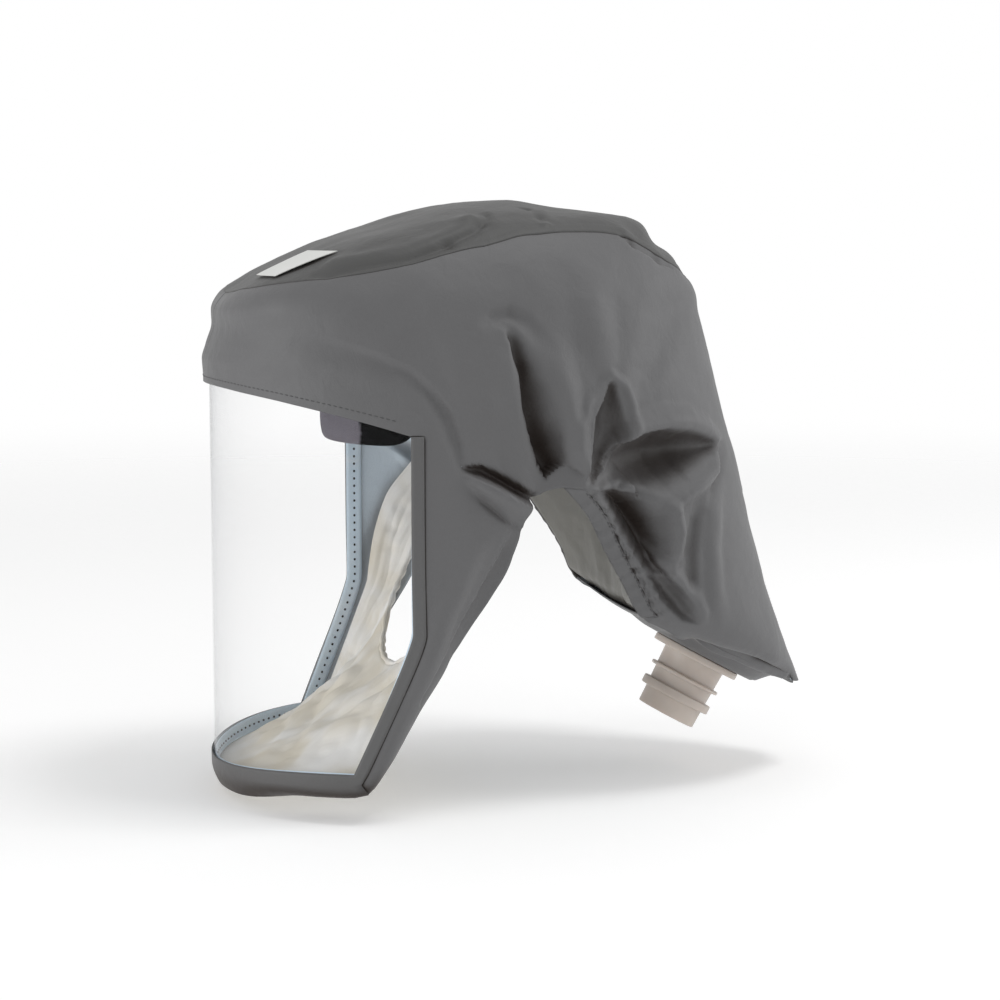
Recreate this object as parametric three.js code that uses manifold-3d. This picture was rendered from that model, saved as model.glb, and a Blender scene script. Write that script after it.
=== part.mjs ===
// A disposable respirator hood in the form it has when worn: cloth panels, curved window, face seal,
// neck panel and hose spigot. Millimetres. The wearer looks along -Y, +X is the wearer's left and +Z is
// up. The origin is the inside top of the crown, where the head sits, and drops are measured down from it.
import * as THREE from 'three';
import Module from 'manifold-3d';

const wasm = await Module();
wasm.setup();

// Walls and clearances
const CLOTH = 1.6;
const WINDOW_SHEET = 1.0;
const TAPE = 1.0;
const LABEL = 0.8;
const GAP = 0.3;
const FACET = 0.4;

// Depths of the inner layers below the outside of the face, each behind the last by its thickness and a gap
const WINDOW_INSET = CLOTH + GAP + FACET;
const TAPE_INSET = WINDOW_INSET + WINDOW_SHEET + GAP;
const SEAL_INSET = TAPE_INSET + TAPE + GAP + 2 * FACET;
const PANEL_INSET = CLOTH + 2 * GAP + FACET;
const NECK_INSET = PANEL_INSET + GAP + FACET;

// Hood above the ears
const HALF_WIDTH = 109;
const EAR_FORWARD = 50;
const FRONT_REACH = 165;
const BACK_REACH = 140;
const CROWN_DROP = 160;
const APEX_FORWARD = 4;
const ARCH_FRONT = THREE.MathUtils.degToRad(103.9);
const ARCH_BACK = THREE.MathUtils.degToRad(109.5);

// Window and chin
const WINDOW_TOP = 98;
const WINDOW_CORNER = 121;
const WINDOW_KNEE = 225;
const WINDOW_FOOT = 300;
const WINDOW_CHIN = 307;
const SIDE_ANGLE = THREE.MathUtils.degToRad(79.1);
const FOOT_ANGLE = THREE.MathUtils.degToRad(63.5);
const WINDOW_LAP = 7;
const BINDING = 6.5;
const FOOT_SHARE = 0.42;
const CHIN_FRONT = 17;
const CHIN_SIDE = 12;
const CHIN_TUCK = 3;
const CHIN_TURN = 20;
const TAPE_WIDTH = 9;

// Tail behind the neck
const TAIL_DROP = 275;
const TAIL_REACH = 176;
const TAIL_HALF = 95;
const FOLD_DEPTH = 9;
const FOLD_WIDTH = 30;

// Head, brow pad and head band
const HEAD_HALF = 78;
const HEAD_FRONT = 92;
const HEAD_BACK = 99;
const PAD_DROP = 113;
const PAD_HEIGHT = 36;
const PAD_THICK = 10;
const PAD_ANGLE = THREE.MathUtils.degToRad(52);
const BAND_HEIGHT = 22;
const BAND_THICK = 2;
const TAB_FORWARD = 45;
const TAB_WIDTH = 18;
const TAB_HEIGHT = 12;

// Face seal and neck panel
const SEAL_HALF = 90;
const SEAL_SIDE_FORWARD = 15;
const SEAL_SIDE_DROP = 180;
const SEAL_CHIN_FORWARD = 66;
const SEAL_CHIN_DROP = 258;
const SEAL_SAG = 7;
const SEAL_TOP_SHARE = 0.82;
const SEAL_LAP = 2;
const SEAL_TOP_LAP = 16;
const NECK_TOP_BACK = 103;
const NECK_FOOT_BACK = 66;

// Hose spigot
const SPIGOT_BACK = 118.7;
const SPIGOT_DROP = 261;
const SPIGOT_TILT = THREE.MathUtils.degToRad(28.7);
const SPIGOT_LENGTH = 36;
const SPIGOT_BORE = 15.5;
const SPIGOT_ROOT = 18.8;
const SPIGOT_TIP = 17.5;
const FLANGE_RADIUS = 26.5;
const FLANGE_THICK = 4;
const SPIGOT_NECK = 6;
const SEAT_MARGIN = 3;
const SEAT_BLEND = 15;
const RING_LOW = 3;
const RING_HIGH = 3.5;
const RING_LOW_AT = 12;
const RING_HIGH_AT = 23;
const RING_LOW_THICK = 2;
const RING_HIGH_THICK = 5;

// Label on the crown
const LABEL_SIDE = 0.454 * HALF_WIDTH;
const LABEL_HALF = 13.5;
const LABEL_SKEW = 4;
const LABEL_FRONT_DROP = 41;
const LABEL_BACK_DROP = 28;

// Level sections of the hood. drop is a share of CROWN_DROP, mid of EAR_FORWARD, front of FRONT_REACH,
// back of BACK_REACH and half of HALF_WIDTH. square is 2 for an ellipse and more for a squarer front.
const SECTIONS = [
  { drop: 0.000, mid: 0.08, front: 0.024, back: 0.000, half: 0.000, square: 2.00 },
  { drop: 0.007, mid: 0.10, front: 0.140, back: 0.090, half: 0.240, square: 2.00 },
  { drop: 0.025, mid: 0.14, front: 0.248, back: 0.215, half: 0.405, square: 2.10 },
  { drop: 0.044, mid: 0.20, front: 0.340, back: 0.390, half: 0.520, square: 2.20 },
  { drop: 0.058, mid: 0.26, front: 0.388, back: 0.525, half: 0.580, square: 2.30 },
  { drop: 0.082, mid: 0.36, front: 0.462, back: 0.590, half: 0.660, square: 2.50 },
  { drop: 0.144, mid: 0.54, front: 0.642, back: 0.655, half: 0.775, square: 2.90 },
  { drop: 0.206, mid: 0.70, front: 0.770, back: 0.718, half: 0.850, square: 3.10 },
  { drop: 0.275, mid: 0.86, front: 0.892, back: 0.780, half: 0.905, square: 3.10 },
  { drop: 0.322, mid: 0.94, front: 0.955, back: 0.796, half: 0.935, square: 2.90 },
  { drop: 0.380, mid: 1.00, front: 0.980, back: 0.808, half: 0.958, square: 2.60 },
  { drop: 0.420, mid: 1.00, front: 0.978, back: 0.820, half: 0.970, square: 2.45 },
  { drop: 0.500, mid: 1.00, front: 1.000, back: 0.843, half: 0.985, square: 2.20 },
  { drop: 0.550, mid: 1.00, front: 1.014, back: 0.858, half: 0.996, square: 2.06 },
  { drop: 0.625, mid: 1.00, front: 1.014, back: 0.883, half: 1.000, square: 2.00 },
  { drop: 0.762, mid: 1.00, front: 1.000, back: 0.925, half: 1.000, square: 2.00 },
  { drop: 1.030, mid: 1.00, front: 1.000, back: 1.000, half: 1.000, square: 2.00 },
];

// Seam between the crown and the sides. turn is the share of the way from front to back and drop a share
// of CROWN_DROP.
const SEAM = [
  { turn: 0.00, drop: 0.300 },
  { turn: 0.22, drop: 0.258 },
  { turn: 0.37, drop: 0.228 },
  { turn: 0.44, drop: 0.198 },
  { turn: 0.50, drop: 0.140 },
  { turn: 0.56, drop: 0.098 },
  { turn: 0.66, drop: 0.086 },
  { turn: 0.75, drop: 0.105 },
  { turn: 0.82, drop: 0.160 },
  { turn: 0.88, drop: 0.215 },
  { turn: 1.00, drop: 0.255 },
];

// Free edge in front of the side arch. edge is where the row leaves the window's side, from 0 at its foot
// to 1 at its top corner, ahead is a share of FRONT_REACH, drop of WINDOW_FOOT and half of HALF_WIDTH.
const FRONT_HEM = [
  { edge: 0.00, ahead: 0.552, drop: 1.040, half: 0.721 },
  { edge: 0.07, ahead: 0.479, drop: 0.990, half: 0.740 },
  { edge: 0.16, ahead: 0.418, drop: 0.930, half: 0.771 },
  { edge: 0.27, ahead: 0.358, drop: 0.873, half: 0.798 },
  { edge: 0.40, ahead: 0.295, drop: 0.817, half: 0.826 },
  { edge: 0.52, ahead: 0.224, drop: 0.757, half: 0.849 },
  { edge: 0.65, ahead: 0.158, drop: 0.695, half: 0.872 },
  { edge: 0.77, ahead: 0.109, drop: 0.630, half: 0.890 },
  { edge: 0.89, ahead: 0.067, drop: 0.567, half: 0.890 },
  { edge: 1.00, ahead: 0.027, drop: 0.518, half: 0.872 },
];

// Rows of the tail from the side arch down. hemBack and back are shares of TAIL_REACH, hemDrop and
// backDrop of TAIL_DROP, hemHalf and half of TAIL_HALF.
const TAIL_ROWS = [
  { hemBack: 0.074, hemDrop: 0.549, hemHalf: 1.000, back: 0.800, backDrop: 0.599, half: 1.070 },
  { hemBack: 0.153, hemDrop: 0.604, hemHalf: 0.937, back: 0.822, backDrop: 0.653, half: 1.050 },
  { hemBack: 0.222, hemDrop: 0.680, hemHalf: 0.863, back: 0.850, backDrop: 0.718, half: 1.020 },
  { hemBack: 0.278, hemDrop: 0.738, hemHalf: 0.811, back: 0.874, backDrop: 0.773, half: 0.975 },
  { hemBack: 0.358, hemDrop: 0.822, hemHalf: 0.758, back: 0.904, backDrop: 0.831, half: 0.925 },
  { hemBack: 0.460, hemDrop: 0.862, hemHalf: 0.716, back: 0.935, backDrop: 0.885, half: 0.850 },
  { hemBack: 0.551, hemDrop: 0.909, hemHalf: 0.632, back: 0.963, backDrop: 0.932, half: 0.740 },
  { hemBack: 0.727, hemDrop: 0.956, hemHalf: 0.474, back: 0.986, backDrop: 0.971, half: 0.570 },
  { hemBack: 0.915, hemDrop: 0.996, hemHalf: 0.263, back: 1.000, backDrop: 1.002, half: 0.330 },
];

// Folds as strokes on the side of the hood, a valley where sink is above zero and a ridge where it is
// below. back ends are shares of BACK_REACH, drop ends of CROWN_DROP, wide of FOLD_WIDTH and sink of
// FOLD_DEPTH.
const FOLDS = [
  { back0: -0.15, drop0: 0.44, back1: -0.06, drop1: 0.68, wide: 0.90, sink: 0.80 },
  { back0: -0.06, drop0: 0.68, back1: 0.03, drop1: 0.92, wide: 0.90, sink: 0.70 },
  { back0: -0.27, drop0: 0.42, back1: -0.13, drop1: 0.80, wide: 0.90, sink: -0.30 },
  { back0: 0.30, drop0: 0.60, back1: 0.20, drop1: 0.86, wide: 0.80, sink: 0.55 },
  { back0: 0.64, drop0: 0.72, back1: 0.26, drop1: 0.93, wide: 0.95, sink: 0.85 },
  { back0: 0.74, drop0: 0.92, back1: 0.50, drop1: 1.04, wide: 0.90, sink: -0.45 },
  { back0: 0.48, drop0: 1.24, back1: 0.34, drop1: 1.08, wide: 1.00, sink: 0.70 },
  { back0: 0.72, drop0: 1.42, back1: 0.52, drop1: 1.24, wide: 0.90, sink: 0.50 },
  { back0: -0.36, drop0: 0.88, back1: -0.12, drop1: 0.96, wide: 0.80, sink: 0.45 },
];

// Counts of the mesh
const BROW_COLUMNS = 9;
const CHEEK_COLUMNS = 6;
const ARCH_COLUMNS = 2;
const BACK_COLUMNS = 14;
const CROWN_ROWS = 6;
const BODY_ROWS = 12;
const CHIN_COLUMNS = 7;
const WINDOW_ROWS = 7;
const WINDOW_HALF_COLUMNS = 12;
const SEAL_COLUMNS = 18;
const SEAL_ROWS = 4;
const NECK_ROWS = 4;
const PANEL_HALF_COLUMNS = 7;
const SPIGOT_SIDES = 22;

// Finishes
const finish = (color, roughness, opacity = 1) => new THREE.MeshStandardMaterial({
  color, roughness, metalness: 0, opacity, transparent: opacity < 1,
});
const HOOD_GREY = finish(0x66686a, 0.75);
const CREAM = finish(0xc6bfb4, 0.85);
const BLUE_GREY = finish(0x92a2b1, 0.8);
const CLEAR = finish(0xeef3f5, 0.1, 0.25);
const MILKY = finish(0xb2aaa4, 0.4);
const WHITE = finish(0xdcdfdd, 0.6);
const PAD_GREY = finish(0x4a464c, 0.9);

// Small helpers
const vec = (x, y, z) => new THREE.Vector3(x, y, z);
const lerp = (a, b, t) => a + (b - a) * t;
const mix = (p, q, t) => p.clone().lerp(q, t);
const mirror = (p) => vec(-p.x, p.y, p.z);
const clamp01 = (t) => Math.min(1, Math.max(0, t));
const transpose = (rows) => rows[0].map((_, j) => rows.map((row) => row[j]));
const both = (half) => [...half.slice(1).reverse().map(mirror), ...half];

// Even steps from one value to another, without and with the first
function spread(from, to, count) {
  return Array.from({ length: count }, (_, i) => lerp(from, to, (i + 1) / count));
}

const steps = (from, to, count) => [from, ...spread(from, to, count)];

function ease(from, to, value) {
  const t = clamp01((value - from) / (to - from));
  return t * t * (3 - 2 * t);
}

function quadratic(p, q, r, t) {
  return mix(mix(p, q, t), mix(q, r, t), t);
}

function cubic(p, q, r, s, t) {
  return mix(quadratic(p, q, r, t), quadratic(q, r, s, t), t);
}

// Smooth curve through a table's rows that never swings past them, of each column over the key column
function curves(rows, keyOf, names) {
  const at = rows.map(keyOf);
  const fits = {};
  for (const name of names) {
    const value = rows.map((row) => row[name]);
    const rise = at.slice(1).map((x, i) => (value[i + 1] - value[i]) / (x - at[i]));
    const slope = value.map((_, i) => {
      if (i === 0) return rise[0];
      if (i === value.length - 1) return rise[i - 1];
      if (rise[i - 1] * rise[i] <= 0) return 0;
      return (2 * rise[i - 1] * rise[i]) / (rise[i - 1] + rise[i]);
    });
    fits[name] = { value, slope };
  }
  return (key) => {
    let i = 0;
    while (i < at.length - 2 && key > at[i + 1]) i += 1;
    const span = at[i + 1] - at[i];
    const t = clamp01((key - at[i]) / span);
    const out = {};
    for (const name of names) {
      const { value, slope } = fits[name];
      const start = value[i] + slope[i] * span * t * (1 - t) * (1 - t);
      const bend = (value[i + 1] - value[i]) * t * t * (3 - 2 * t);
      out[name] = start + bend - slope[i + 1] * span * t * t * (1 - t);
    }
    return out;
  };
}

// Shape of the hood above the ears
const seamAt = curves(SEAM, (row) => row.turn, ['drop']);
const hemAt = curves(FRONT_HEM, (row) => row.edge, ['ahead', 'drop', 'half']);
const sectionAt = curves(SECTIONS, (row) => Math.sqrt(row.drop), ['mid', 'front', 'back', 'half', 'square']);

function bodyPoint(angle, drop) {
  const section = sectionAt(Math.sqrt(Math.max(0, drop) / CROWN_DROP));
  const middle = -section.mid * EAR_FORWARD;
  const front = section.front * FRONT_REACH + middle;
  const back = section.back * BACK_REACH - middle;
  const reach = Math.cos(angle) > 0 ? -front : back;
  const power = Math.cos(angle) > 0 ? 2 / section.square : 1;
  const across = Math.sign(Math.sin(angle)) * Math.abs(Math.sin(angle)) ** power;
  const y = middle + reach * Math.abs(Math.cos(angle)) ** power;
  return vec(section.half * HALF_WIDTH * across, y, CLOTH - drop);
}

// Upright face that the window, its binding and the chin follow, drawn in by an inset
function facePoint(angle, drop, inset) {
  const half = HALF_WIDTH - inset;
  const reach = FRONT_REACH - EAR_FORWARD - inset;
  return vec(half * Math.sin(angle), -EAR_FORWARD - reach * Math.cos(angle), -drop);
}

const windowTop = (angle) => lerp(WINDOW_TOP, WINDOW_CORNER, (Math.abs(angle) / SIDE_ANGLE) ** 2.2);
const windowChin = (angle) => lerp(WINDOW_CHIN, WINDOW_FOOT, ease(0, FOOT_ANGLE, Math.abs(angle)));

// Window's lower edge by a share: 0 at the chin, FOOT_SHARE at the foot corner, 1 at the top corner
function windowEdge(share) {
  if (share <= FOOT_SHARE) {
    const angle = (FOOT_ANGLE * share) / FOOT_SHARE;
    return { angle, drop: windowChin(angle) };
  }
  const drop = lerp(WINDOW_FOOT, WINDOW_CORNER, (share - FOOT_SHARE) / (1 - FOOT_SHARE));
  const lean = clamp01((drop - WINDOW_KNEE) / (WINDOW_FOOT - WINDOW_KNEE));
  return { angle: lerp(SIDE_ANGLE, FOOT_ANGLE, lean ** 1.15), drop };
}

// Point on the face, moved away from the window's edge and drawn in by an inset
function framePoint(share, away, inset) {
  const here = windowEdge(share);
  const before = windowEdge(share - 0.02);
  const after = windowEdge(Math.min(1, share + 0.02));
  const radius = HALF_WIDTH;
  const across = (after.angle - before.angle) * radius;
  const rise = before.drop - after.drop;
  const length = Math.hypot(across, rise);
  const angle = here.angle + (away * rise) / length / radius;
  return facePoint(angle, here.drop + (away * across) / length, inset);
}

const tailHem = (row) => vec(row.hemHalf * TAIL_HALF, row.hemBack * TAIL_REACH, -row.hemDrop * TAIL_DROP);

function tailPoint(row, t) {
  const hem = tailHem(row);
  const end = vec(0, row.back * TAIL_REACH, -row.backDrop * TAIL_DROP);
  const half = row.half * TAIL_HALF;
  const side = vec(half, lerp(hem.y, end.y, 0.42), lerp(hem.z, end.z, 0.42));
  const turn = vec(half * 0.6, end.y, end.z);
  return cubic(hem, side, turn, end, t);
}

// Free edge that a frame row ends on: the cheek's table above the foot, and turned in under the chin below
function frameEnd(share) {
  if (share > FOOT_SHARE) {
    const row = hemAt((share - FOOT_SHARE) / (1 - FOOT_SHARE));
    return vec(row.half * HALF_WIDTH, -row.ahead * FRONT_REACH, -row.drop * WINDOW_FOOT);
  }
  const { angle, drop } = windowEdge(share);
  const side = ease(0.3, 1, share / FOOT_SHARE);
  return facePoint(angle, drop + lerp(CHIN_FRONT, CHIN_SIDE, side), lerp(CHIN_TUCK, CHIN_TURN, side));
}

// Row of the cloth round the window: flat on the face as far as the window laps it, then curved to its end
function frameRow(share) {
  const start = framePoint(share, WINDOW_LAP + 1, 0);
  const end = frameEnd(share);
  const reach = start.distanceTo(end) * 0.5;
  const turn = framePoint(share, WINDOW_LAP + 1 + reach, 0);
  const curve = spread(0, 1, CHEEK_COLUMNS - 1).map((t) => quadratic(start, turn, end, t));
  return [framePoint(share, 0, 0), framePoint(share, BINDING, 0), ...curve];
}

// Cloth skin: merged points, faces that each belong to a panel, and normals over the whole skin
class Skin {
  constructor() {
    this.points = [];
    this.faces = [];
    this.index = new Map();
  }

  add(p) {
    const key = [p.x, p.y, p.z].map((value) => Math.round(value * 500)).join();
    if (!this.index.has(key)) {
      this.index.set(key, this.points.length);
      this.points.push(p.clone());
    }
    return this.index.get(key);
  }

  face(panel, p, q, r) {
    const corners = [this.add(p), this.add(q), this.add(r)];
    if (new Set(corners).size === 3) this.faces.push({ panel, corners });
  }

  // Rows of points, outside seen with rows running down and columns running left to right
  grid(rows, panelOf) {
    for (let i = 0; i + 1 < rows.length; i += 1) {
      for (let j = 0; j + 1 < rows[i].length; j += 1) {
        const panel = panelOf(i, j);
        this.face(panel, rows[i][j], rows[i + 1][j], rows[i + 1][j + 1]);
        this.face(panel, rows[i][j], rows[i + 1][j + 1], rows[i][j + 1]);
      }
    }
  }

  normals() {
    const sums = this.points.map(() => vec(0, 0, 0));
    for (const { corners } of this.faces) {
      const [a, b, c] = corners.map((i) => this.points[i]);
      const cross = b.clone().sub(a).cross(c.clone().sub(a));
      corners.forEach((i) => sums[i].add(cross));
    }
    return sums.map((sum) => sum.normalize());
  }

  // Closed wall of one panel, drawn in by half the gap along its own edge
  wall(panel, thickness, normals) {
    const faces = this.faces.filter((face) => face.panel === panel).map((face) => face.corners);
    const edges = openEdges(faces);
    const shift = new Map();
    for (const [a, b] of edges) {
      const along = this.points[b].clone().sub(this.points[a]).normalize();
      for (const i of [a, b]) {
        const inward = normals[i].clone().cross(along).normalize();
        if (shift.has(i)) shift.get(i).push(inward);
        else shift.set(i, [inward]);
      }
    }
    const outer = this.points.map((p, i) => {
      if (!shift.has(i)) return p.clone();
      const [u, v = u] = shift.get(i);
      const scale = (GAP * 0.6) / Math.max(0.5, 1 + u.dot(v));
      return p.clone().addScaledVector(u, scale).addScaledVector(v, scale);
    });
    const inner = outer.map((p, i) => p.clone().addScaledVector(normals[i], -thickness));
    return closeWall(outer, inner, faces, edges);
  }
}

// Directed edges that only one face has
function openEdges(faces) {
  const seen = new Map();
  for (const [a, b, c] of faces) {
    for (const [p, q] of [[a, b], [b, c], [c, a]]) {
      if (seen.has(`${q},${p}`)) seen.delete(`${q},${p}`);
      else seen.set(`${p},${q}`, [p, q]);
    }
  }
  return [...seen.values()];
}

function closeWall(outer, inner, faces, edges) {
  const geometry = [];
  const put = (p, q, r) => geometry.push(...p.toArray(), ...q.toArray(), ...r.toArray());
  for (const [a, b, c] of faces) {
    put(outer[a], outer[b], outer[c]);
    put(inner[c], inner[b], inner[a]);
  }
  for (const [a, b] of edges) {
    put(outer[b], outer[a], inner[a]);
    put(outer[b], inner[a], inner[b]);
  }
  return fromTriangles(geometry);
}

function fromTriangles(numbers) {
  const geometry = new THREE.BufferGeometry();
  geometry.setAttribute('position', new THREE.Float32BufferAttribute(numbers, 3));
  geometry.computeVertexNormals();
  return geometry;
}

// Wall of a single sheet given as rows of points
function sheet(rows, thickness) {
  const skin = new Skin();
  skin.grid(rows, () => 'sheet');
  return skin.wall('sheet', thickness, skin.normals());
}

// Solid swept through rings of points, closed at both ends
function swept(rings) {
  const numbers = [];
  const put = (p, q, r) => numbers.push(...p.toArray(), ...q.toArray(), ...r.toArray());
  const count = rings[0].length;
  for (let i = 0; i + 1 < rings.length; i += 1) {
    const [ring, next] = rings.slice(i, i + 2);
    for (let j = 0; j < count; j += 1) {
      const k = (j + 1) % count;
      put(ring[j], ring[k], next[k]);
      put(ring[j], next[k], next[j]);
    }
  }
  const first = rings[0];
  const end = rings[rings.length - 1];
  for (let j = 1; j + 1 < count; j += 1) {
    put(first[0], first[j + 1], first[j]);
    put(end[0], end[j], end[j + 1]);
  }
  return fromTriangles(numbers);
}

function toManifold(geometry) {
  const numbers = geometry.getAttribute('position').array;
  const index = new Map();
  const vertices = [];
  const corners = [];
  const plain = Array.from({ length: numbers.length / 3 }, (_, i) => i);
  for (const i of geometry.index ? geometry.index.array : plain) {
    const p = [0, 1, 2].map((k) => numbers[3 * i + k]);
    const key = p.map((value) => Math.round(value * 10000)).join();
    if (!index.has(key)) {
      index.set(key, vertices.length / 3);
      vertices.push(...p);
    }
    corners.push(index.get(key));
  }
  const triVerts = [];
  for (let i = 0; i < corners.length; i += 3) {
    const [a, b, c] = corners.slice(i, i + 3);
    if (a !== b && b !== c && c !== a) triVerts.push(a, b, c);
  }
  return new wasm.Manifold(new wasm.Mesh({
    numProp: 3,
    vertProperties: new Float32Array(vertices),
    triVerts: new Uint32Array(triVerts),
  }));
}

function fromManifold(solid) {
  const mesh = solid.getMesh();
  const numbers = [];
  for (const i of mesh.triVerts) {
    for (let k = 0; k < 3; k += 1) numbers.push(mesh.vertProperties[mesh.numProp * i + k]);
  }
  return fromTriangles(numbers);
}

const group = new THREE.Group();

function addNode(name, geometry, material) {
  const mesh = new THREE.Mesh(geometry, material);
  mesh.name = name;
  group.add(mesh);
  return mesh;
}

// Columns round one half of the hood, from the middle of the brow to the middle of the back
function zoneColumns(zone, from, to, count) {
  return spread(0, 1, count).map((share) => ({ angle: lerp(from, to, share), zone, share }));
}

const COLUMNS = [
  { angle: 0, zone: 'brow', share: 0 },
  ...zoneColumns('brow', 0, SIDE_ANGLE, BROW_COLUMNS),
  ...zoneColumns('cheek', SIDE_ANGLE, ARCH_FRONT, CHEEK_COLUMNS),
  ...zoneColumns('arch', ARCH_FRONT, ARCH_BACK, ARCH_COLUMNS),
  ...zoneColumns('back', ARCH_BACK, Math.PI, BACK_COLUMNS),
];
const SIDE_COLUMN = BROW_COLUMNS;
const ARCH_COLUMN = SIDE_COLUMN + CHEEK_COLUMNS;
const TAIL_COLUMN = ARCH_COLUMN + ARCH_COLUMNS;

const seamDrop = (angle) => seamAt(angle / Math.PI).drop * CROWN_DROP;

// Lower end of each column, where the body's rows meet the window, the cheek, the arch or the tail
function footPoint(column) {
  if (column.zone === 'brow') return bodyPoint(column.angle, windowTop(column.angle) + CLOTH);
  if (column.zone === 'cheek') return frameRow(1)[Math.round(column.share * CHEEK_COLUMNS)];
  if (column.zone === 'back') return tailPoint(TAIL_ROWS[0], column.share);
  const from = frameEnd(1);
  const to = tailHem(TAIL_ROWS[0]);
  return mix(from, to, column.share).add(vec(0, 0, 4 * column.share * (1 - column.share)));
}

function bodyColumn(column) {
  const foot = footPoint(column);
  const start = seamDrop(column.angle);
  const end = CLOTH - foot.z;
  const miss = foot.clone().sub(bodyPoint(column.angle, end));
  return Array.from({ length: BODY_ROWS + 1 }, (_, i) => {
    const drop = lerp(start, end, i / BODY_ROWS);
    return bodyPoint(column.angle, drop).addScaledVector(miss, ease(0.45, 1, i / BODY_ROWS));
  });
}

function crownColumn(column) {
  const end = seamDrop(column.angle);
  return Array.from({ length: CROWN_ROWS + 1 }, (_, i) => {
    if (i === 0) return vec(0, -APEX_FORWARD, CLOTH);
    return bodyPoint(column.angle, end * (i / CROWN_ROWS) ** 2);
  });
}

const CROWN = transpose(COLUMNS.map(crownColumn));
const BODY = transpose(COLUMNS.map(bodyColumn));
const FRAME_SHARES = [
  ...spread(0, FOOT_SHARE, CHIN_COLUMNS),
  ...FRONT_HEM.slice(1).map((row) => lerp(FOOT_SHARE, 1, row.edge)),
];
const FRAME = [0, ...FRAME_SHARES].reverse().map(frameRow);
const TAIL = TAIL_ROWS.map((row) => [0, ...spread(0, 1, BACK_COLUMNS)].map((t) => tailPoint(row, t)));
FRAME[0] = BODY[BODY_ROWS].slice(SIDE_COLUMN, ARCH_COLUMN + 1);
TAIL[0] = BODY[BODY_ROWS].slice(TAIL_COLUMN);

// How far a fold's stroke sinks the cloth at a place on the side of the hood
function strokeSink(fold, y, z) {
  const from = [fold.back0 * BACK_REACH, -fold.drop0 * CROWN_DROP];
  const to = [fold.back1 * BACK_REACH, -fold.drop1 * CROWN_DROP];
  const run = [to[0] - from[0], to[1] - from[1]];
  const length = Math.hypot(...run);
  const t = clamp01(((y - from[0]) * run[0] + (z - from[1]) * run[1]) / length ** 2);
  const away = Math.hypot(y - from[0] - run[0] * t, z - from[1] - run[1] * t);
  const reach = fold.wide * FOLD_WIDTH * 0.5;
  return fold.sink * FOLD_DEPTH * Math.exp(-((away / reach) ** 2)) * (0.45 + 0.55 * t);
}

const hood = new Skin();
for (const side of ['left', 'right']) {
  const flip = (rows) => (side === 'left' ? rows : rows.map((row) => row.map(mirror).reverse()));
  const isFirst = (rows, j) => (side === 'left' ? j === 0 : j === rows[0].length - 2);
  const inBinding = (i, j) => isFirst(FRAME, j) || i >= FRONT_HEM.length - 1;
  const inCasing = (i, j) => isFirst(TAIL, j) && i < NECK_ROWS;
  const panel = `side_panel_${side}`;
  hood.grid(flip(CROWN), () => 'crown_panel');
  hood.grid(flip(BODY), () => panel);
  hood.grid(flip(FRAME), (i, j) => (inBinding(i, j) ? 'window_binding' : panel));
  hood.grid(flip(TAIL), (i, j) => (inCasing(i, j) ? `hem_casing_${side}` : panel));
}

const plainNormals = hood.normals();
hood.points.forEach((p, i) => {
  const sideways = Math.abs(plainNormals[i].x);
  const sink = FOLDS.reduce((sum, fold) => sum + strokeSink(fold, p.y, p.z), 0);
  p.addScaledVector(plainNormals[i], -sink * ease(0.2, 0.7, sideways));
});
const hoodNormals = hood.normals();

const CLOTH_PANELS = [
  'crown_panel', 'side_panel_left', 'side_panel_right',
  'hem_casing_left', 'hem_casing_right', 'window_binding',
];
for (const panel of CLOTH_PANELS) {
  addNode(panel, hood.wall(panel, CLOTH, hoodNormals), HOOD_GREY);
}

// Place of a hood vertex after the folds, drawn inside the cloth by a depth
function insideHood(point, depth) {
  const i = hood.add(point);
  return hood.points[i].clone().addScaledVector(hoodNormals[i], -depth);
}

// Window, lapped by the brim above and by the binding and chin band elsewhere
const WINDOW_ANGLE = SIDE_ANGLE + WINDOW_LAP / (HALF_WIDTH - WINDOW_INSET);

function windowRow(t) {
  const level = lerp(WINDOW_CORNER, WINDOW_FOOT, t);
  const share = lerp(1, FOOT_SHARE, t);
  const edge = framePoint(share, WINDOW_LAP, WINDOW_INSET);
  const side = Math.asin(edge.x / (HALF_WIDTH - WINDOW_INSET));
  return both(steps(0, WINDOW_ANGLE, WINDOW_HALF_COLUMNS).map((upright) => {
    const angle = Math.min(upright, side);
    const top = windowTop(Math.min(angle, SIDE_ANGLE)) - WINDOW_LAP;
    const bottom = windowChin(angle) + WINDOW_LAP;
    const down = (level - WINDOW_CORNER) / (WINDOW_FOOT - WINDOW_CORNER);
    return facePoint(angle, lerp(top, bottom, down), WINDOW_INSET);
  }));
}
addNode('window', sheet(steps(0, 1, WINDOW_ROWS).map(windowRow), WINDOW_SHEET), CLEAR);

// Tape that holds the window's edge from inside, from one top corner round the chin to the other
const TAPE_SHARES = [...steps(0, FOOT_SHARE, 12), ...spread(FOOT_SHARE, 0.97, 10)];
const tapeRow = (away) => both(TAPE_SHARES.map((share) => framePoint(share, away, TAPE_INSET)));
addNode('inner_tape', sheet([tapeRow(0), tapeRow(TAPE_WIDTH)], TAPE), BLUE_GREY);

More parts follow.
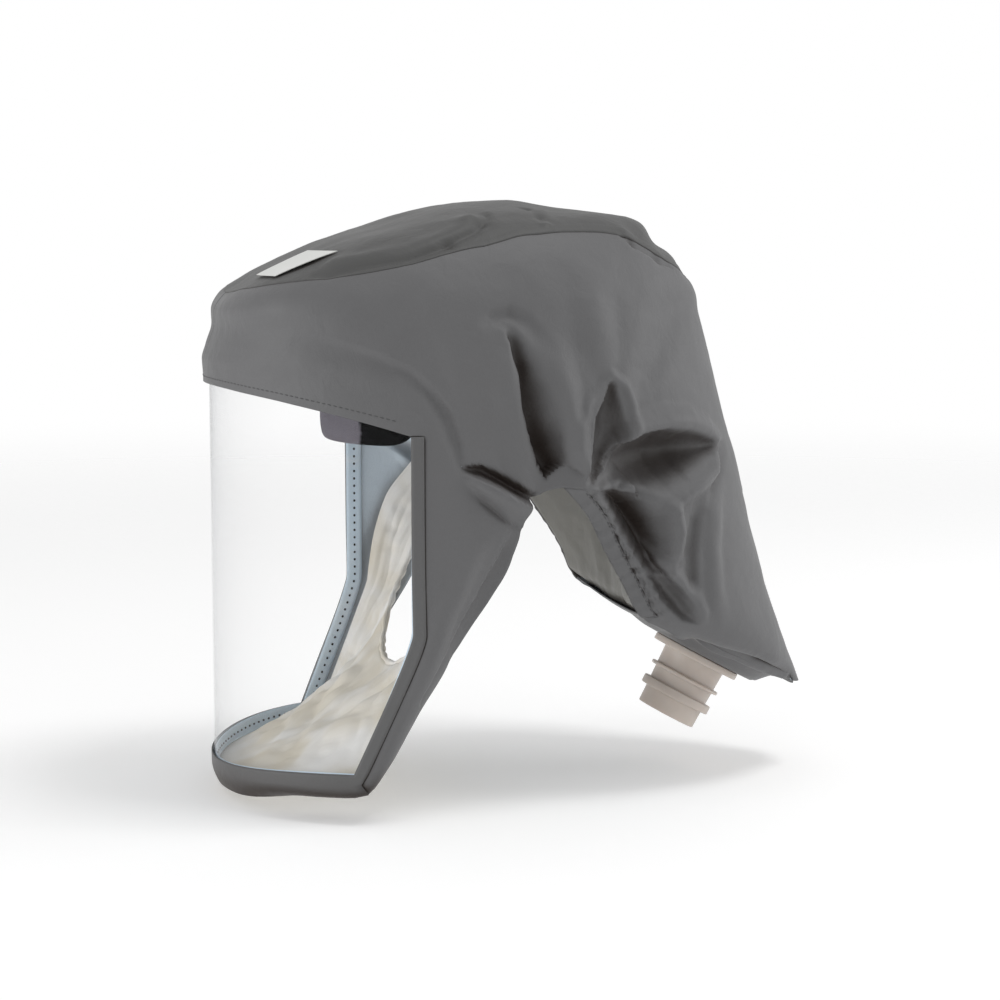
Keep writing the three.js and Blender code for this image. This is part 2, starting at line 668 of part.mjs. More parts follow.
// Face seal from the tape to its elastic edge round the chin and jaw
function sealColumn(t) {
  const share = t * SEAL_TOP_SHARE;
  const turn = (Math.PI / 2) * t ** 0.9;
  const margin = share < FOOT_SHARE
    ? lerp(TAPE_WIDTH, SEAL_LAP, ease(0, FOOT_SHARE, share))
    : lerp(SEAL_LAP, SEAL_TOP_LAP, (share - FOOT_SHARE) / (SEAL_TOP_SHARE - FOOT_SHARE));
  const start = framePoint(share, margin, SEAL_INSET);
  const end = vec(
    SEAL_HALF * Math.sin(turn),
    -lerp(SEAL_SIDE_FORWARD, SEAL_CHIN_FORWARD, Math.cos(turn)),
    -lerp(SEAL_SIDE_DROP, SEAL_CHIN_DROP, Math.cos(turn)),
  );
  const middle = mix(start, end, 0.5).add(vec(0, 0, -2 * SEAL_SAG * Math.cos(turn)));
  return steps(0, 1, SEAL_ROWS).map((s) => quadratic(start, middle, end, s));
}
const sealHalf = steps(0, 1, SEAL_COLUMNS).map(sealColumn);
const sealMirror = sealHalf.slice(1).reverse().map((column) => column.map(mirror));
addNode('face_seal', sheet(transpose([...sealMirror, ...sealHalf]), CLOTH), CREAM);

// Neck panel and tail floor
const seat = vec(0, SPIGOT_BACK, -SPIGOT_DROP);
const spigotAxis = vec(0, -Math.sin(SPIGOT_TILT), -Math.cos(SPIGOT_TILT));

// Row of a panel between a side point and its mirror, set back and lowered most in the middle
function crossRow(side, middle) {
  return steps(-1, 1, 2 * PANEL_HALF_COLUMNS).map((t) => vec(
    side.x * t,
    lerp(middle.y, side.y, t * t),
    lerp(middle.z, side.z, t * t),
  ));
}

function floorRow(side) {
  return crossRow(side, side.clone().add(vec(0, 3, -4))).map((p) => {
    const slope = spigotAxis.y / spigotAxis.z;
    const level = seat.z - (p.y - seat.y) * slope;
    const away = Math.hypot(p.x, p.y - seat.y);
    const rim = FLANGE_RADIUS + SEAT_MARGIN;
    p.z = lerp(level, p.z, ease(rim, rim + SEAT_BLEND, away));
    return p;
  });
}

const floorSides = TAIL.slice(NECK_ROWS).map((row) => insideHood(row[0], PANEL_INSET));
const floorRows = floorSides.flatMap((side, i) => {
  if (i + 1 === floorSides.length) return [floorRow(side)];
  return steps(0, 1 / 2, 1).map((t) => floorRow(mix(side, floorSides[i + 1], t)));
});
const tip = TAIL[TAIL.length - 1];
for (const j of [4, 8, 11]) floorRows.push(floorRow(insideHood(tip[j], PANEL_INSET + GAP)));
const neckSides = [
  insideHood(BODY[BODY_ROWS - 2][TAIL_COLUMN + 1], NECK_INSET),
  insideHood(BODY[BODY_ROWS - 1][TAIL_COLUMN + 1], NECK_INSET),
  ...TAIL.slice(0, NECK_ROWS).map((row) => insideHood(row[1], NECK_INSET)),
];
const neckRows = neckSides.map((side, i) => {
  const t = i / neckSides.length;
  return crossRow(side, vec(0, lerp(NECK_TOP_BACK, NECK_FOOT_BACK, t ** 0.6), side.z - 2));
});
const neckFoot = floorRows[0].map((p, j) => mix(p, floorRows[1][j], 0.5).add(vec(0, 0, CLOTH + 2 * GAP)));
addNode('neck_panel', sheet([...neckRows, neckFoot], CLOTH), HOOD_GREY);

const holeRadius = SPIGOT_ROOT + GAP;
const hole = new THREE.CylinderGeometry(holeRadius, holeRadius, 2 * holeRadius, SPIGOT_SIDES);
hole.rotateX(-Math.PI / 2 - SPIGOT_TILT);
hole.translate(seat.x, seat.y, seat.z);
const floorSolid = toManifold(sheet(floorRows, CLOTH)).subtract(toManifold(hole));
addNode('tail_floor', fromManifold(floorSolid), HOOD_GREY);

// Hose spigot, turned about its own axis: neck through the floor, flange, stem and two rings
function spigotProfile() {
  const start = -(CLOTH + SPIGOT_NECK);
  const foot = GAP + FLANGE_THICK;
  const stem = (along) => lerp(SPIGOT_ROOT, SPIGOT_TIP, (along - foot) / (SPIGOT_LENGTH - foot));
  const ring = (at, thick, high) => [
    [stem(at - thick / 2), at - thick / 2],
    [stem(at) + high, at - thick / 2],
    [stem(at) + high, at + thick / 2],
    [stem(at + thick / 2), at + thick / 2],
  ];
  const lowAt = foot + RING_LOW_AT;
  const highAt = foot + RING_HIGH_AT;
  return [
    [SPIGOT_BORE, start],
    [SPIGOT_ROOT, start],
    [SPIGOT_ROOT, GAP],
    [FLANGE_RADIUS, GAP],
    [FLANGE_RADIUS, foot],
    [SPIGOT_ROOT, foot],
    ...ring(lowAt, RING_LOW_THICK, RING_LOW),
    ...ring(highAt, RING_HIGH_THICK, RING_HIGH),
    [SPIGOT_TIP, foot + SPIGOT_LENGTH],
    [SPIGOT_BORE, foot + SPIGOT_LENGTH],
    [SPIGOT_BORE, start],
  ].map(([radius, along]) => new THREE.Vector2(radius, along));
}
const spigot = addNode('hose_spigot', new THREE.LatheGeometry(spigotProfile(), SPIGOT_SIDES), MILKY);
spigot.rotation.x = -Math.PI / 2 - SPIGOT_TILT;
spigot.position.copy(seat);

// Label on the front of the crown
function labelPoint(x, drop) {
  const section = sectionAt(Math.sqrt(drop / CROWN_DROP));
  const angle = Math.asin((x / (section.half * HALF_WIDTH)) ** (section.square / 2));
  const here = bodyPoint(angle, drop);
  const down = bodyPoint(angle, drop + 1).sub(here);
  const across = bodyPoint(angle + 0.01, drop).sub(here);
  return here.addScaledVector(down.cross(across).normalize(), GAP + LABEL);
}
const labelRows = steps(1, -1, 5).map((t) => {
  const middle = LABEL_SIDE + LABEL_SKEW * t;
  const drop = lerp(LABEL_FRONT_DROP, LABEL_BACK_DROP, (t + 1) / 2);
  return steps(middle - LABEL_HALF, middle + LABEL_HALF, 4).map((x) => labelPoint(x, drop));
});
addNode('crown_label', sheet(labelRows, LABEL), WHITE);

// Brow pad and head band round the head
const HEAD_LENGTH = (HEAD_FRONT + HEAD_BACK) / 2;
const HEAD_MIDDLE = (HEAD_BACK - HEAD_FRONT) / 2;

function headPoint(angle, out, z) {
  const y = HEAD_MIDDLE - (HEAD_LENGTH + out) * Math.cos(angle);
  return vec((HEAD_HALF + out) * Math.sin(angle), y, z);
}

// Section of a band as pairs of out and up, its corners cut back
function bandSection(inner, thick, height, cut) {
  const outer = inner + thick;
  const half = height / 2;
  return [
    [inner + cut, -half], [inner, -half + cut], [inner, half - cut], [inner + cut, half],
    [outer - cut, half], [outer, half - cut], [outer, -half + cut], [outer - cut, -half],
  ];
}

function headRing(angle, section) {
  return section.map(([out, up]) => headPoint(angle, out, up - PAD_DROP));
}
const padSection = bandSection(GAP, PAD_THICK, PAD_HEIGHT, 3);
const padRings = steps(-PAD_ANGLE, PAD_ANGLE, 20).map((angle) => headRing(angle, padSection));
addNode('brow_pad', swept(padRings), PAD_GREY);

const BAND_IN = PAD_THICK / 2;
const bandSides = bandSection(BAND_IN, BAND_THICK, BAND_HEIGHT, 0.4);
const bandStart = PAD_ANGLE + (2 * GAP) / HEAD_HALF;
const bandRings = steps(bandStart, 2 * Math.PI - bandStart, 36).map((angle) => headRing(angle, bandSides));
const isNear = (value, place, reach) => Math.abs(value - place) < reach;
const nearTab = (p) => isNear(p.y, -TAB_FORWARD, TAB_WIDTH * 0.7) && isNear(p.z, -PAD_DROP, TAB_HEIGHT);
let band = toManifold(swept(bandRings));
for (const side of [-1, 1]) {
  const turn = Math.acos((HEAD_MIDDLE + TAB_FORWARD) / HEAD_LENGTH);
  const inner = headPoint(turn, BAND_IN + BAND_THICK / 2, 0).x;
  const wall = BODY.flat().filter(nearTab).map((p) => insideHood(p, CLOTH + GAP + FACET / 2));
  const outer = Math.min(...wall.map((p) => p.x));
  const tab = new THREE.BoxGeometry(outer - inner, TAB_WIDTH, TAB_HEIGHT);
  tab.translate((side * (outer + inner)) / 2, -TAB_FORWARD, -PAD_DROP);
  band = band.add(toManifold(tab));
}
addNode('head_band', fromManifold(band), PAD_GREY);

export default group;
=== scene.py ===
"""Looks of a disposable respirator hood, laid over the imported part. Shapes are worked out in millimetres
in the part's own frame: the wearer looks along -Y, +X is the wearer's left, +Z is up and the origin is
the inside top of the crown. They turn into metres as each piece becomes a mesh."""

import math

import bpy
import numpy as np
from mathutils import Matrix, Vector, noise


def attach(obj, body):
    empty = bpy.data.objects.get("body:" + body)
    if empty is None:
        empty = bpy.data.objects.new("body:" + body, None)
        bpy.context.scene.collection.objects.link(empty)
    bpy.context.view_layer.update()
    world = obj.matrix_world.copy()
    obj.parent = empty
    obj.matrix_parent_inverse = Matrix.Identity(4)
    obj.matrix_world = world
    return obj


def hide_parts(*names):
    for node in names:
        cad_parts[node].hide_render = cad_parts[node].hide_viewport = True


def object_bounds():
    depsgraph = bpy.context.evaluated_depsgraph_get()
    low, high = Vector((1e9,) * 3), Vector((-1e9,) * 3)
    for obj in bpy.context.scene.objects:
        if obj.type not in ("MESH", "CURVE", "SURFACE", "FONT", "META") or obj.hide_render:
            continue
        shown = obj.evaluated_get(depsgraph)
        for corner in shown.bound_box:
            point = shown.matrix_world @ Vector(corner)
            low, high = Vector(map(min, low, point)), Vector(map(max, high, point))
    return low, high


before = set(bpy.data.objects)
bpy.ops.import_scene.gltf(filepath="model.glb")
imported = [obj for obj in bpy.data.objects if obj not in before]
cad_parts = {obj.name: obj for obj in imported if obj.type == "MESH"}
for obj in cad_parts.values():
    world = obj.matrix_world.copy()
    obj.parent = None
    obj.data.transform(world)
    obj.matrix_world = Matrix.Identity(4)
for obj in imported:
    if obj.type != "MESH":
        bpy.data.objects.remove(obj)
CAD_BOX = [list(corner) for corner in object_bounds()]
MM = 0.001
rad = math.radians

# Walls and clearances of the part
CLOTH, CLOTH_LOOK, FILM_LOOK, TAPE_LOOK, GAP = 1.6, 0.8, 0.5, 0.6, 0.3
WINDOW_INSET = CLOTH_LOOK + GAP
TAPE_INSET = WINDOW_INSET + FILM_LOOK + 0.1
SEAL_INSET = TAPE_INSET + TAPE_LOOK + 2 * GAP
PANEL_INSET = CLOTH_LOOK + 2 * GAP
NECK_INSET = PANEL_INSET + 1

# Hood above the ears, window and chin
HALF_WIDTH, EAR_FORWARD, FRONT_REACH, BACK_REACH = 109, 50, 165, 140
CROWN_DROP, APEX_FORWARD = 160, 4
ARCH_FRONT, ARCH_BACK = rad(103.9), rad(109.5)
WINDOW_TOP, WINDOW_CORNER, WINDOW_KNEE, WINDOW_FOOT, WINDOW_CHIN = 98, 121, 225, 300, 307
SIDE_ANGLE, FOOT_ANGLE, WINDOW_LAP, BINDING, FOOT_SHARE = rad(79.1), rad(63.5), 7, 6.5, 0.42
CHIN_FRONT, CHIN_SIDE, CHIN_TUCK, CHIN_TURN, TAPE_WIDTH = 17, 12, 3, 20, 9

# Tail, head, seal, neck panel and spigot
TAIL_DROP, TAIL_REACH, TAIL_HALF = 275, 176, 95
HEAD_HALF, HEAD_FRONT, HEAD_BACK, PAD_DROP, PAD_HEIGHT, PAD_THICK = 78, 92, 99, 113, 36, 10
PAD_ANGLE, BAND_HEIGHT, BAND_THICK, TAB_FORWARD, TAB_WIDTH, TAB_HEIGHT = rad(52), 22, 2, 45, 18, 12
TAB_END = 104.5
SEAL_HALF, SEAL_SIDE_FORWARD, SEAL_SIDE_DROP, SEAL_CHIN_FORWARD, SEAL_CHIN_DROP = 90, 15, 180, 66, 258
SEAL_SAG, SEAL_TOP_SHARE, NECK_TOP_BACK, NECK_FOOT_BACK = 7, 0.9, 103, 66
SEAL_SHARES, SEAL_MARGINS = (0, 0.42, 0.6, 0.72, 0.82, 0.9), (9, 8, 9, 13, 22, 41)
SPIGOT_BACK, SPIGOT_DROP, SPIGOT_TILT, SPIGOT_LENGTH, SPIGOT_BORE = 118.7, 261, rad(28.7), 36, 15.5
SPIGOT_ROOT, SPIGOT_TIP, FLANGE_RADIUS, FLANGE_THICK, SPIGOT_NECK = 18.8, 17.5, 26.5, 4, 6
RING_BACK, RING_FRONT = 12, 23
LABEL_SIDE, LABEL_HALF, LABEL_SKEW, LABEL_FRONT_DROP, LABEL_BACK_DROP = 49.5, 13.5, 4, 41, 28
STITCH_PITCH, STITCH_LENGTH, THREAD_RADIUS = 3.2, 2.2, 0.28
HOLE_PITCH, HOLE_LENGTH, HOLE_RADIUS, HOLE_AWAY = 4.5, 1.5, 0.7, 4.6

# Level sections of the hood: drop, mid, front, back, half, square, as shares of the sizes above
SECTIONS = [
    (0.000, 0.08, 0.024, 0.000, 0.000, 2.00), (0.007, 0.10, 0.140, 0.090, 0.240, 2.00),
    (0.025, 0.14, 0.248, 0.215, 0.405, 2.10), (0.044, 0.20, 0.340, 0.390, 0.520, 2.20),
    (0.058, 0.26, 0.388, 0.525, 0.580, 2.30), (0.082, 0.36, 0.462, 0.590, 0.660, 2.50),
    (0.144, 0.54, 0.642, 0.655, 0.775, 2.90), (0.206, 0.70, 0.770, 0.718, 0.850, 3.10),
    (0.275, 0.86, 0.892, 0.780, 0.905, 3.10), (0.322, 0.94, 0.955, 0.796, 0.935, 2.90),
    (0.380, 1.00, 0.980, 0.808, 0.958, 2.60), (0.420, 1.00, 0.978, 0.820, 0.970, 2.45),
    (0.500, 1.00, 1.000, 0.843, 0.985, 2.20), (0.550, 1.00, 1.014, 0.858, 0.996, 2.06),
    (0.625, 1.00, 1.014, 0.883, 1.000, 2.00), (0.762, 1.00, 1.000, 0.925, 1.000, 2.00),
    (1.030, 1.00, 1.000, 1.000, 1.000, 2.00),
]

# Seam between crown and sides: turn from front to back, drop as a share of CROWN_DROP
SEAM = [
    (0.00, 0.300), (0.22, 0.258), (0.37, 0.228), (0.44, 0.198), (0.50, 0.140), (0.56, 0.098),
    (0.66, 0.086), (0.75, 0.105), (0.82, 0.160), (0.88, 0.215), (1.00, 0.255),
]

# Free edge in front of the side arch: edge, ahead, drop, half
FRONT_HEM = [
    (0.00, 0.552, 1.040, 0.721), (0.07, 0.479, 0.990, 0.740), (0.16, 0.418, 0.930, 0.771),
    (0.27, 0.358, 0.873, 0.798), (0.40, 0.295, 0.817, 0.826), (0.52, 0.224, 0.757, 0.849),
    (0.65, 0.158, 0.695, 0.872), (0.77, 0.109, 0.630, 0.890), (0.89, 0.067, 0.567, 0.890),
    (1.00, 0.027, 0.518, 0.872),
]

# Rows of the tail from the side arch down: hemBack, hemDrop, hemHalf, back, backDrop, half
TAIL_ROWS = [
    (0.074, 0.549, 1.000, 0.800, 0.599, 1.070), (0.153, 0.604, 0.937, 0.822, 0.653, 1.050),
    (0.222, 0.680, 0.863, 0.850, 0.718, 1.020), (0.278, 0.738, 0.811, 0.874, 0.773, 0.975),
    (0.358, 0.822, 0.758, 0.904, 0.831, 0.925), (0.460, 0.862, 0.716, 0.935, 0.885, 0.850),
    (0.551, 0.909, 0.632, 0.963, 0.932, 0.740), (0.727, 0.956, 0.474, 0.986, 0.971, 0.570),
    (0.915, 0.996, 0.263, 1.000, 1.002, 0.330),
]

# Folds drawn on the side of the hood, each a line of (y, z, first width, second width, sink): a valley
# where sink is above zero and a ridge below. The first width is that above a line that runs backwards,
# or behind a line that runs down. An edge of 1 is crisp and more is softer. A lap pushes the cloth beyond
# the second side's edge over the valley, or beyond the first side's edge where it is below zero.
CRISP, SOFT, LAP_EDGE, LAP_REACH = 1.0, 2.4, 1.4, 7


def fold(first_edge, second_edge, lap, *line):
    return {"edges": (first_edge, second_edge), "lap": lap, "line": line}


FOLDS = [
    # long leaf above the arch, its hood and the swells on both sides of it
    fold(SOFT, CRISP, 3, (-20, -63, 4, 3, 0), (-17, -72, 8, 3, 5), (-14, -86, 13, 3.5, 9.5),
        (-11, -101, 17, 4, 10.5), (-8, -116, 18, 4.5, 10.5), (-3, -131, 18, 5, 13.5), (4, -142, 13, 5, 10),
        (9, -149, 7, 4, 2)),
    fold(SOFT, SOFT, 0, (-34, -66, 7, 7, 0), (-28, -60, 6, 9, 2.2), (-18, -58, 6, 10, 3.2),
        (-9, -62, 6, 10, 2.6), (0, -72, 6, 8, 1), (8, -82, 5, 7, 0)),
    fold(SOFT, SOFT, 0, (-24, -74, 6, 14, 0), (-21, -90, 6, 16, -2), (-17, -110, 6, 16, -3),
        (-13, -128, 6, 14, -3), (-6, -144, 6, 12, -2)),
    fold(SOFT, SOFT, 0, (0, -66, 14, 12, 0), (6, -82, 14, 12, -2.5), (13, -100, 12, 12, -4.5),
        (17, -116, 7, 12, -5), (19, -130, 5, 11, -5), (21, -143, 4, 8, -3), (22, -150, 4, 6, -1)),
    # upright petal
    fold(CRISP, CRISP, 2, (40, -95, 1, 1, 0), (40, -99, 3, 3, 5), (39.5, -106, 6.5, 5.5, 8),
        (38.5, -115, 10, 10, 9.5), (38.5, -124, 11, 11.5, 10.5), (35, -133, 8.5, 9, 12), (30.5, -142, 5, 5, 8),
        (27, -149, 2.5, 2.5, 3)),
    fold(SOFT, SOFT, 0, (30, -101, 3, 5, 0), (25, -108, 3.5, 5, -2.6), (22, -118, 4, 5, -3.8),
        (22.5, -130, 4, 5, -3.8), (25.5, -141, 3, 4, -3), (27, -148, 3, 3, -1)),
    fold(SOFT, SOFT, 0, (31, -98, 4, 4, 0), (40, -92, 5, 4, -2), (48, -98, 5, 4, -2.6),
        (52.5, -109, 5, 4, -2.8), (53, -119, 5, 4, -2), (51, -125, 4, 4, -1)),
    # long petal behind it, with its overhanging rim
    fold(CRISP, 1.6, -2.5, (27, -150, 2, 2, 1), (33, -148, 5, 6, 5), (40, -145, 7, 13, 9),
        (49, -138, 11, 23, 16), (60, -135, 13, 27, 20), (74, -133, 13, 26, 22), (87, -132, 10, 19, 18),
        (99, -132.5, 7, 11, 10), (108, -133, 4, 6, 5), (114, -134, 1, 1, 0)),
    fold(SOFT, SOFT, 0, (36, -136, 4, 3, 0), (45, -126, 7, 4, -2.5), (58, -119, 10, 6, -4.5),
        (74, -117, 11, 6, -5), (90, -118.5, 10, 6, -4.5), (103, -123, 8, 5, -3), (113, -130, 6, 4, -1)),
    fold(SOFT, SOFT, 0, (112, -138, 5, 5, 0), (106, -147, 7, 7, -4.5), (95, -153, 8, 7, -5),
        (83, -160, 8, 6, -4), (75, -166, 6, 5, -1)),
    fold(SOFT, CRISP, 0, (115, -130, 6, 1.5, 0), (114, -138, 7, 2, 2.5), (110, -148, 7, 2, 3),
        (105, -157, 7, 2.5, 2), (101, -168, 7, 3, 0)),
    # short overlap in front of the arch, with its bright lower flap and the crease under the flap
    fold(CRISP, CRISP, -2, (-46, -139.5, 1, 1, 0), (-41, -139, 3, 2.5, 4), (-33, -140, 4.5, 3.5, 6.5),
        (-23, -145, 4.5, 3.5, 7), (-12, -151.5, 4, 3.5, 6), (-4, -156, 3, 3, 2.5)),
    fold(CRISP, SOFT, 0, (-45, -142.5, 1.5, 4, 0), (-36, -146, 2.5, 8, -5), (-25, -151, 2.5, 10, -7.5),
        (-15, -157, 2.5, 10, -7), (-5, -162, 2.5, 9, -3)),
    fold(CRISP, SOFT, 0, (-45, -142, 1, 3, 0), (-38, -149.5, 1.2, 4, 1.6), (-29, -158, 1.2, 5, 2.2),
        (-20, -166, 1.2, 5, 2.2), (-10, -173, 1.2, 5, 1)),
    # pulls under the petals, and the pocket beside the hem
    fold(SOFT, CRISP, 0, (34, -156, 6, 5, 5), (41, -161, 18, 8, 14), (49, -169, 25, 9, 21),
        (57, -179, 25, 9, 21), (64, -190, 17, 8, 14), (70, -198, 9, 5, 4)),
    fold(SOFT, SOFT, 0, (74, -160, 6, 6, 0), (78, -168, 7, 8, -5.5), (80, -178, 7, 8, -6.5),
        (79, -189, 7, 7, -5), (77, -199, 5, 5, -1)),
    fold(SOFT, SOFT, 0, (97, -158, 6, 7, 0), (92, -172, 6, 7, 3.5), (89, -190, 6, 7, 4),
        (90, -208, 6, 6, 3), (96, -226, 5, 5, 0)),
    fold(SOFT, SOFT, 0, (110, -150, 8, 8, 0), (105, -168, 9, 8, -2.6), (103, -190, 9, 8, -3),
        (105, -212, 9, 8, -2.6), (112, -236, 8, 8, 0)),
    fold(1.2, 1.5, 0, (59, -193, 1, 1, 0), (64, -198, 4.5, 4, 3), (71, -206, 7, 6, 5.5),
        (80, -216, 7.5, 7, 6.5), (88, -225, 6, 5.5, 5), (96, -231, 1, 1, 0)),
    fold(SOFT, CRISP, 0, (62, -186, 4, 2, 0), (70, -194, 6, 3, -3), (82, -205, 7, 3.5, -4),
        (92, -215, 7, 3.5, -4), (98, -225, 5, 3, -2), (99, -232, 3, 2, 0)),
    # faint pulls from the brim to the arch, down the cheek and over the back
    fold(CRISP, SOFT, 0, (-133, -72, 4, 12, 0), (-112, -74, 4, 13, 1.4), (-90, -81, 4, 13, 2),
        (-73, -88, 4, 12, 2.4), (-61, -99, 4, 11, 2.6), (-52, -111, 3.5, 10, 2.6), (-47, -126, 3, 8, 2.2),
        (-45, -138, 2, 5, 1)),
    fold(SOFT, CRISP, 0, (-14, -170, 8, 2, 0), (-20, -184, 18, 2.5, 4), (-29, -200, 20, 3, 5),
        (-40, -219, 20, 3, 5), (-52, -241, 20, 3, 4), (-64, -262, 18, 3, 2)),
    fold(SOFT, SOFT, 0, (-30, -172, 8, 10, 0), (-40, -190, 8, 12, -2), (-52, -214, 8, 12, -2.4),
        (-62, -240, 8, 12, -2), (-70, -262, 8, 10, 0)),
    fold(SOFT, SOFT, 0, (100, -36, 18, 20, 0), (86, -54, 18, 22, 3), (74, -74, 18, 22, 4),
        (62, -92, 14, 16, 2.5), (54, -104, 8, 8, 0)),
    fold(SOFT, SOFT, 0, (34, -34, 18, 18, 0), (30, -52, 18, 18, -2.4), (32, -70, 16, 16, -3),
        (37, -86, 10, 12, -1.5), (40, -94, 5, 6, 0)),
    fold(SOFT, SOFT, 0, (-86, -34, 16, 20, 0), (-74, -52, 16, 22, 1.6), (-64, -74, 14, 22, 2),
        (-56, -94, 12, 18, 1.4), (-50, -112, 8, 8, 0)),
]

# Line on the tail below which the cloth turns under, and how far it turns in
UNDERSIDE = [(80, -230), (92, -235), (107, -241), (124, -247), (142, -253), (170, -262)]
TURN_UNDER, TURN_REACH = 13, 14

# Small puckers beside the crown seam as (x, y, z, radius, sink)
PUCKERS = [
    (85, -48, -23, 4, 1.6), (72, -28, -12, 5, 2.0), (66, -34, -9, 7, -1.6), (45, 3, -5, 3, 1.8),
    (62, 7, -11, 3, 2.2), (70, 9, -14, 3, -1.8), (58, 60, -23, 3, 1.8), (54, 55, -18, 6, -1.6),
    (50, 78, -31, 4, 1.5),
]

# Creases at the crown seam as width, sink and a line of (x, y, z)
SEAM_CREASES = [
    (2.6, 1.5, [(74, -124, -39), (84, -110, -38), (88, -92, -34), (91, -69, -31), (87, -52, -25),
        (78, -31, -16), (66, -22, -10), (52, -20, -5)]),
    (6.0, -1.8, [(70, -120, -34), (83, -92, -29), (86, -69, -26), (82, -50, -20), (73, -34, -12),
        (60, -28, -7)]),
    (2.2, 1.5, [(39, 5, -2), (54, 5, -8), (62, 7, -11), (73, 8, -14)]),
    (4.0, -1.0, [(40, 11, -2), (56, 12, -9), (72, 14, -15)]),
    (2.2, 1.6, [(59, 46, -15), (58, 61, -23), (50, 79, -31), (38, 92, -38)]),
    (4.5, -1.2, [(61, 48, -21), (60, 62, -29), (52, 80, -38)]),
]

# Slow shifts of the cloth as x, y, z of the middle, reach across, reach along, then the move along y and z
# and outwards. The last number is 0 on both sides and 1 on the wearer's right alone.
SHIFTS = [
    (0, -152, -44, 60, 20, 0, 0, -1.8, 0), (0, -118, -26, 60, 24, 0, 0, -2.2, 0),
    (0, -78, -12, 60, 24, 0, 0, -1.8, 0), (0, -10, 0, 40, 24, 0, 0, -0.8, 0),
    (0, 89, -17, 60, 10, 0, 0, -4.6, 0), (0, 104, -36, 60, 8, 0, 0, -3.6, 0),
    (0, 114, -52, 60, 6, 0, 0, 1.2, 0), (90, -22, -188, 30, 22, 3.5, -1.0, 0, 0),
    (90, -50, -232, 30, 30, 1.6, -1.0, 0, 0), (30, 122, -262, 60, 30, 0, 3.6, 0, 0),
    (0, 176, -276, 34, 13, 3.2, -2.0, 0, 0), (85, 26, -168, 22, 24, 3.5, 1.0, 0, 1),
    (80, 50, -200, 22, 26, 3.5, 1.5, 0, 1), (0, -163, -322, 60, 12, 0, 2.2, 0, 0),
    (60, -110, -322, 60, 22, 0, -1.2, 0, 0),
]

# Slow unevenness of all the cloth as height, size and seed
WAVES = [(1.1, 46, 1), (0.5, 19, 2), (0.16, 7, 3)]

# Share of the tail that a casing takes, how far down it is gathered, and its pleats: pitch, finer pitch,
# height, and how far they reach past the casing
CASING_SHARE, CASING_ROW, PLEAT, FINE_PLEAT, PLEAT_HEIGHT, PLEAT_REACH = 1 / 14, 4.6, 7.5, 4.3, 0.8, 9

# Share of a cheek's width that its binding takes
BINDING_SHARE = 1 / 6

# Counts of the fine mesh
BROW_COLUMNS, CHEEK_COLUMNS, BINDING_COLUMNS = 66, 40, 4
ARCH_COLUMNS, CASING_COLUMNS, BACK_COLUMNS = 8, 8, 112
CROWN_ROWS, BODY_ROWS, CHIN_ROWS, CHEEK_ROWS, TAIL_STEPS = 40, 108, 34, 90, 15
CASING_ROWS, LAP_ROWS = 4 * TAIL_STEPS, 3


# Small helpers for numbers and points
def lerp(a, b, t):
    return a + (b - a) * t


def ease(start, end, value):
    t = np.clip((value - start) / (end - start), 0, 1)
    return t * t * (3 - 2 * t)


def stack(x, y, z):
    return np.stack(np.broadcast_arrays(x, y, z), -1).astype(float)


def unit(v):
    return v / np.maximum(np.linalg.norm(v, axis=-1, keepdims=True), 1e-9)


def curve(rows, keys):
    """Smooth curve through a table's rows that never swings past them."""
    at, value = np.array(keys, float), np.array(rows, float)
    rise = np.diff(value, axis=0) / np.diff(at)[:, None]
    both = rise[:-1] + rise[1:]
    product = rise[:-1] * rise[1:]
    middle = np.where(product > 0, 2 * product / np.where(both == 0, 1, both), 0)
    slope = np.vstack([rise[:1], middle, rise[-1:]])

    def sample(key):
        key = np.clip(np.asarray(key, float), at[0], at[-1])
        i = np.clip(np.searchsorted(at, key, side="right") - 1, 0, len(at) - 2)
        span = (at[i + 1] - at[i])[..., None]
        t = (key[..., None] - at[i][..., None]) / span
        start = value[i] + slope[i] * span * t * (1 - t) ** 2
        return start + (value[i + 1] - value[i]) * t * t * (3 - 2 * t) - slope[i + 1] * span * t * t * (1 - t)

    return sample


section_at = curve([row[1:] for row in SECTIONS], [math.sqrt(row[0]) for row in SECTIONS])
seam_at = curve([row[1:] for row in SEAM], [row[0] for row in SEAM])
hem_at = curve([row[1:] for row in FRONT_HEM], [row[0] for row in FRONT_HEM])
tail_at = curve(TAIL_ROWS, range(len(TAIL_ROWS)))


def body_point(angle, drop):
    """Outside of the hood above the ears, on the wearer's left."""
    section = section_at(np.sqrt(np.maximum(drop, 0) / CROWN_DROP))
    mid, front, back, half, square = np.moveaxis(section, -1, 0)
    middle = -mid * EAR_FORWARD
    ahead = np.cos(angle) > 0
    reach = np.where(ahead, -(front * FRONT_REACH + middle), back * BACK_REACH - middle)
    power = np.where(ahead, 2 / square, 1.0)
    across = np.abs(np.sin(angle)) ** power
    return stack(half * HALF_WIDTH * across, middle + reach * np.abs(np.cos(angle)) ** power, CLOTH - drop)


def face_point(angle, drop, inset):
    """Upright face that the window, its binding and the chin follow."""
    half, reach = HALF_WIDTH - inset, FRONT_REACH - EAR_FORWARD - inset
    return stack(half * np.sin(angle), -EAR_FORWARD - reach * np.cos(angle), -drop)


def window_top(angle):
    return lerp(WINDOW_TOP, WINDOW_CORNER, (np.abs(angle) / SIDE_ANGLE) ** 2.2)


def window_chin(angle):
    return lerp(WINDOW_CHIN, WINDOW_FOOT, ease(0, FOOT_ANGLE, np.abs(angle)))


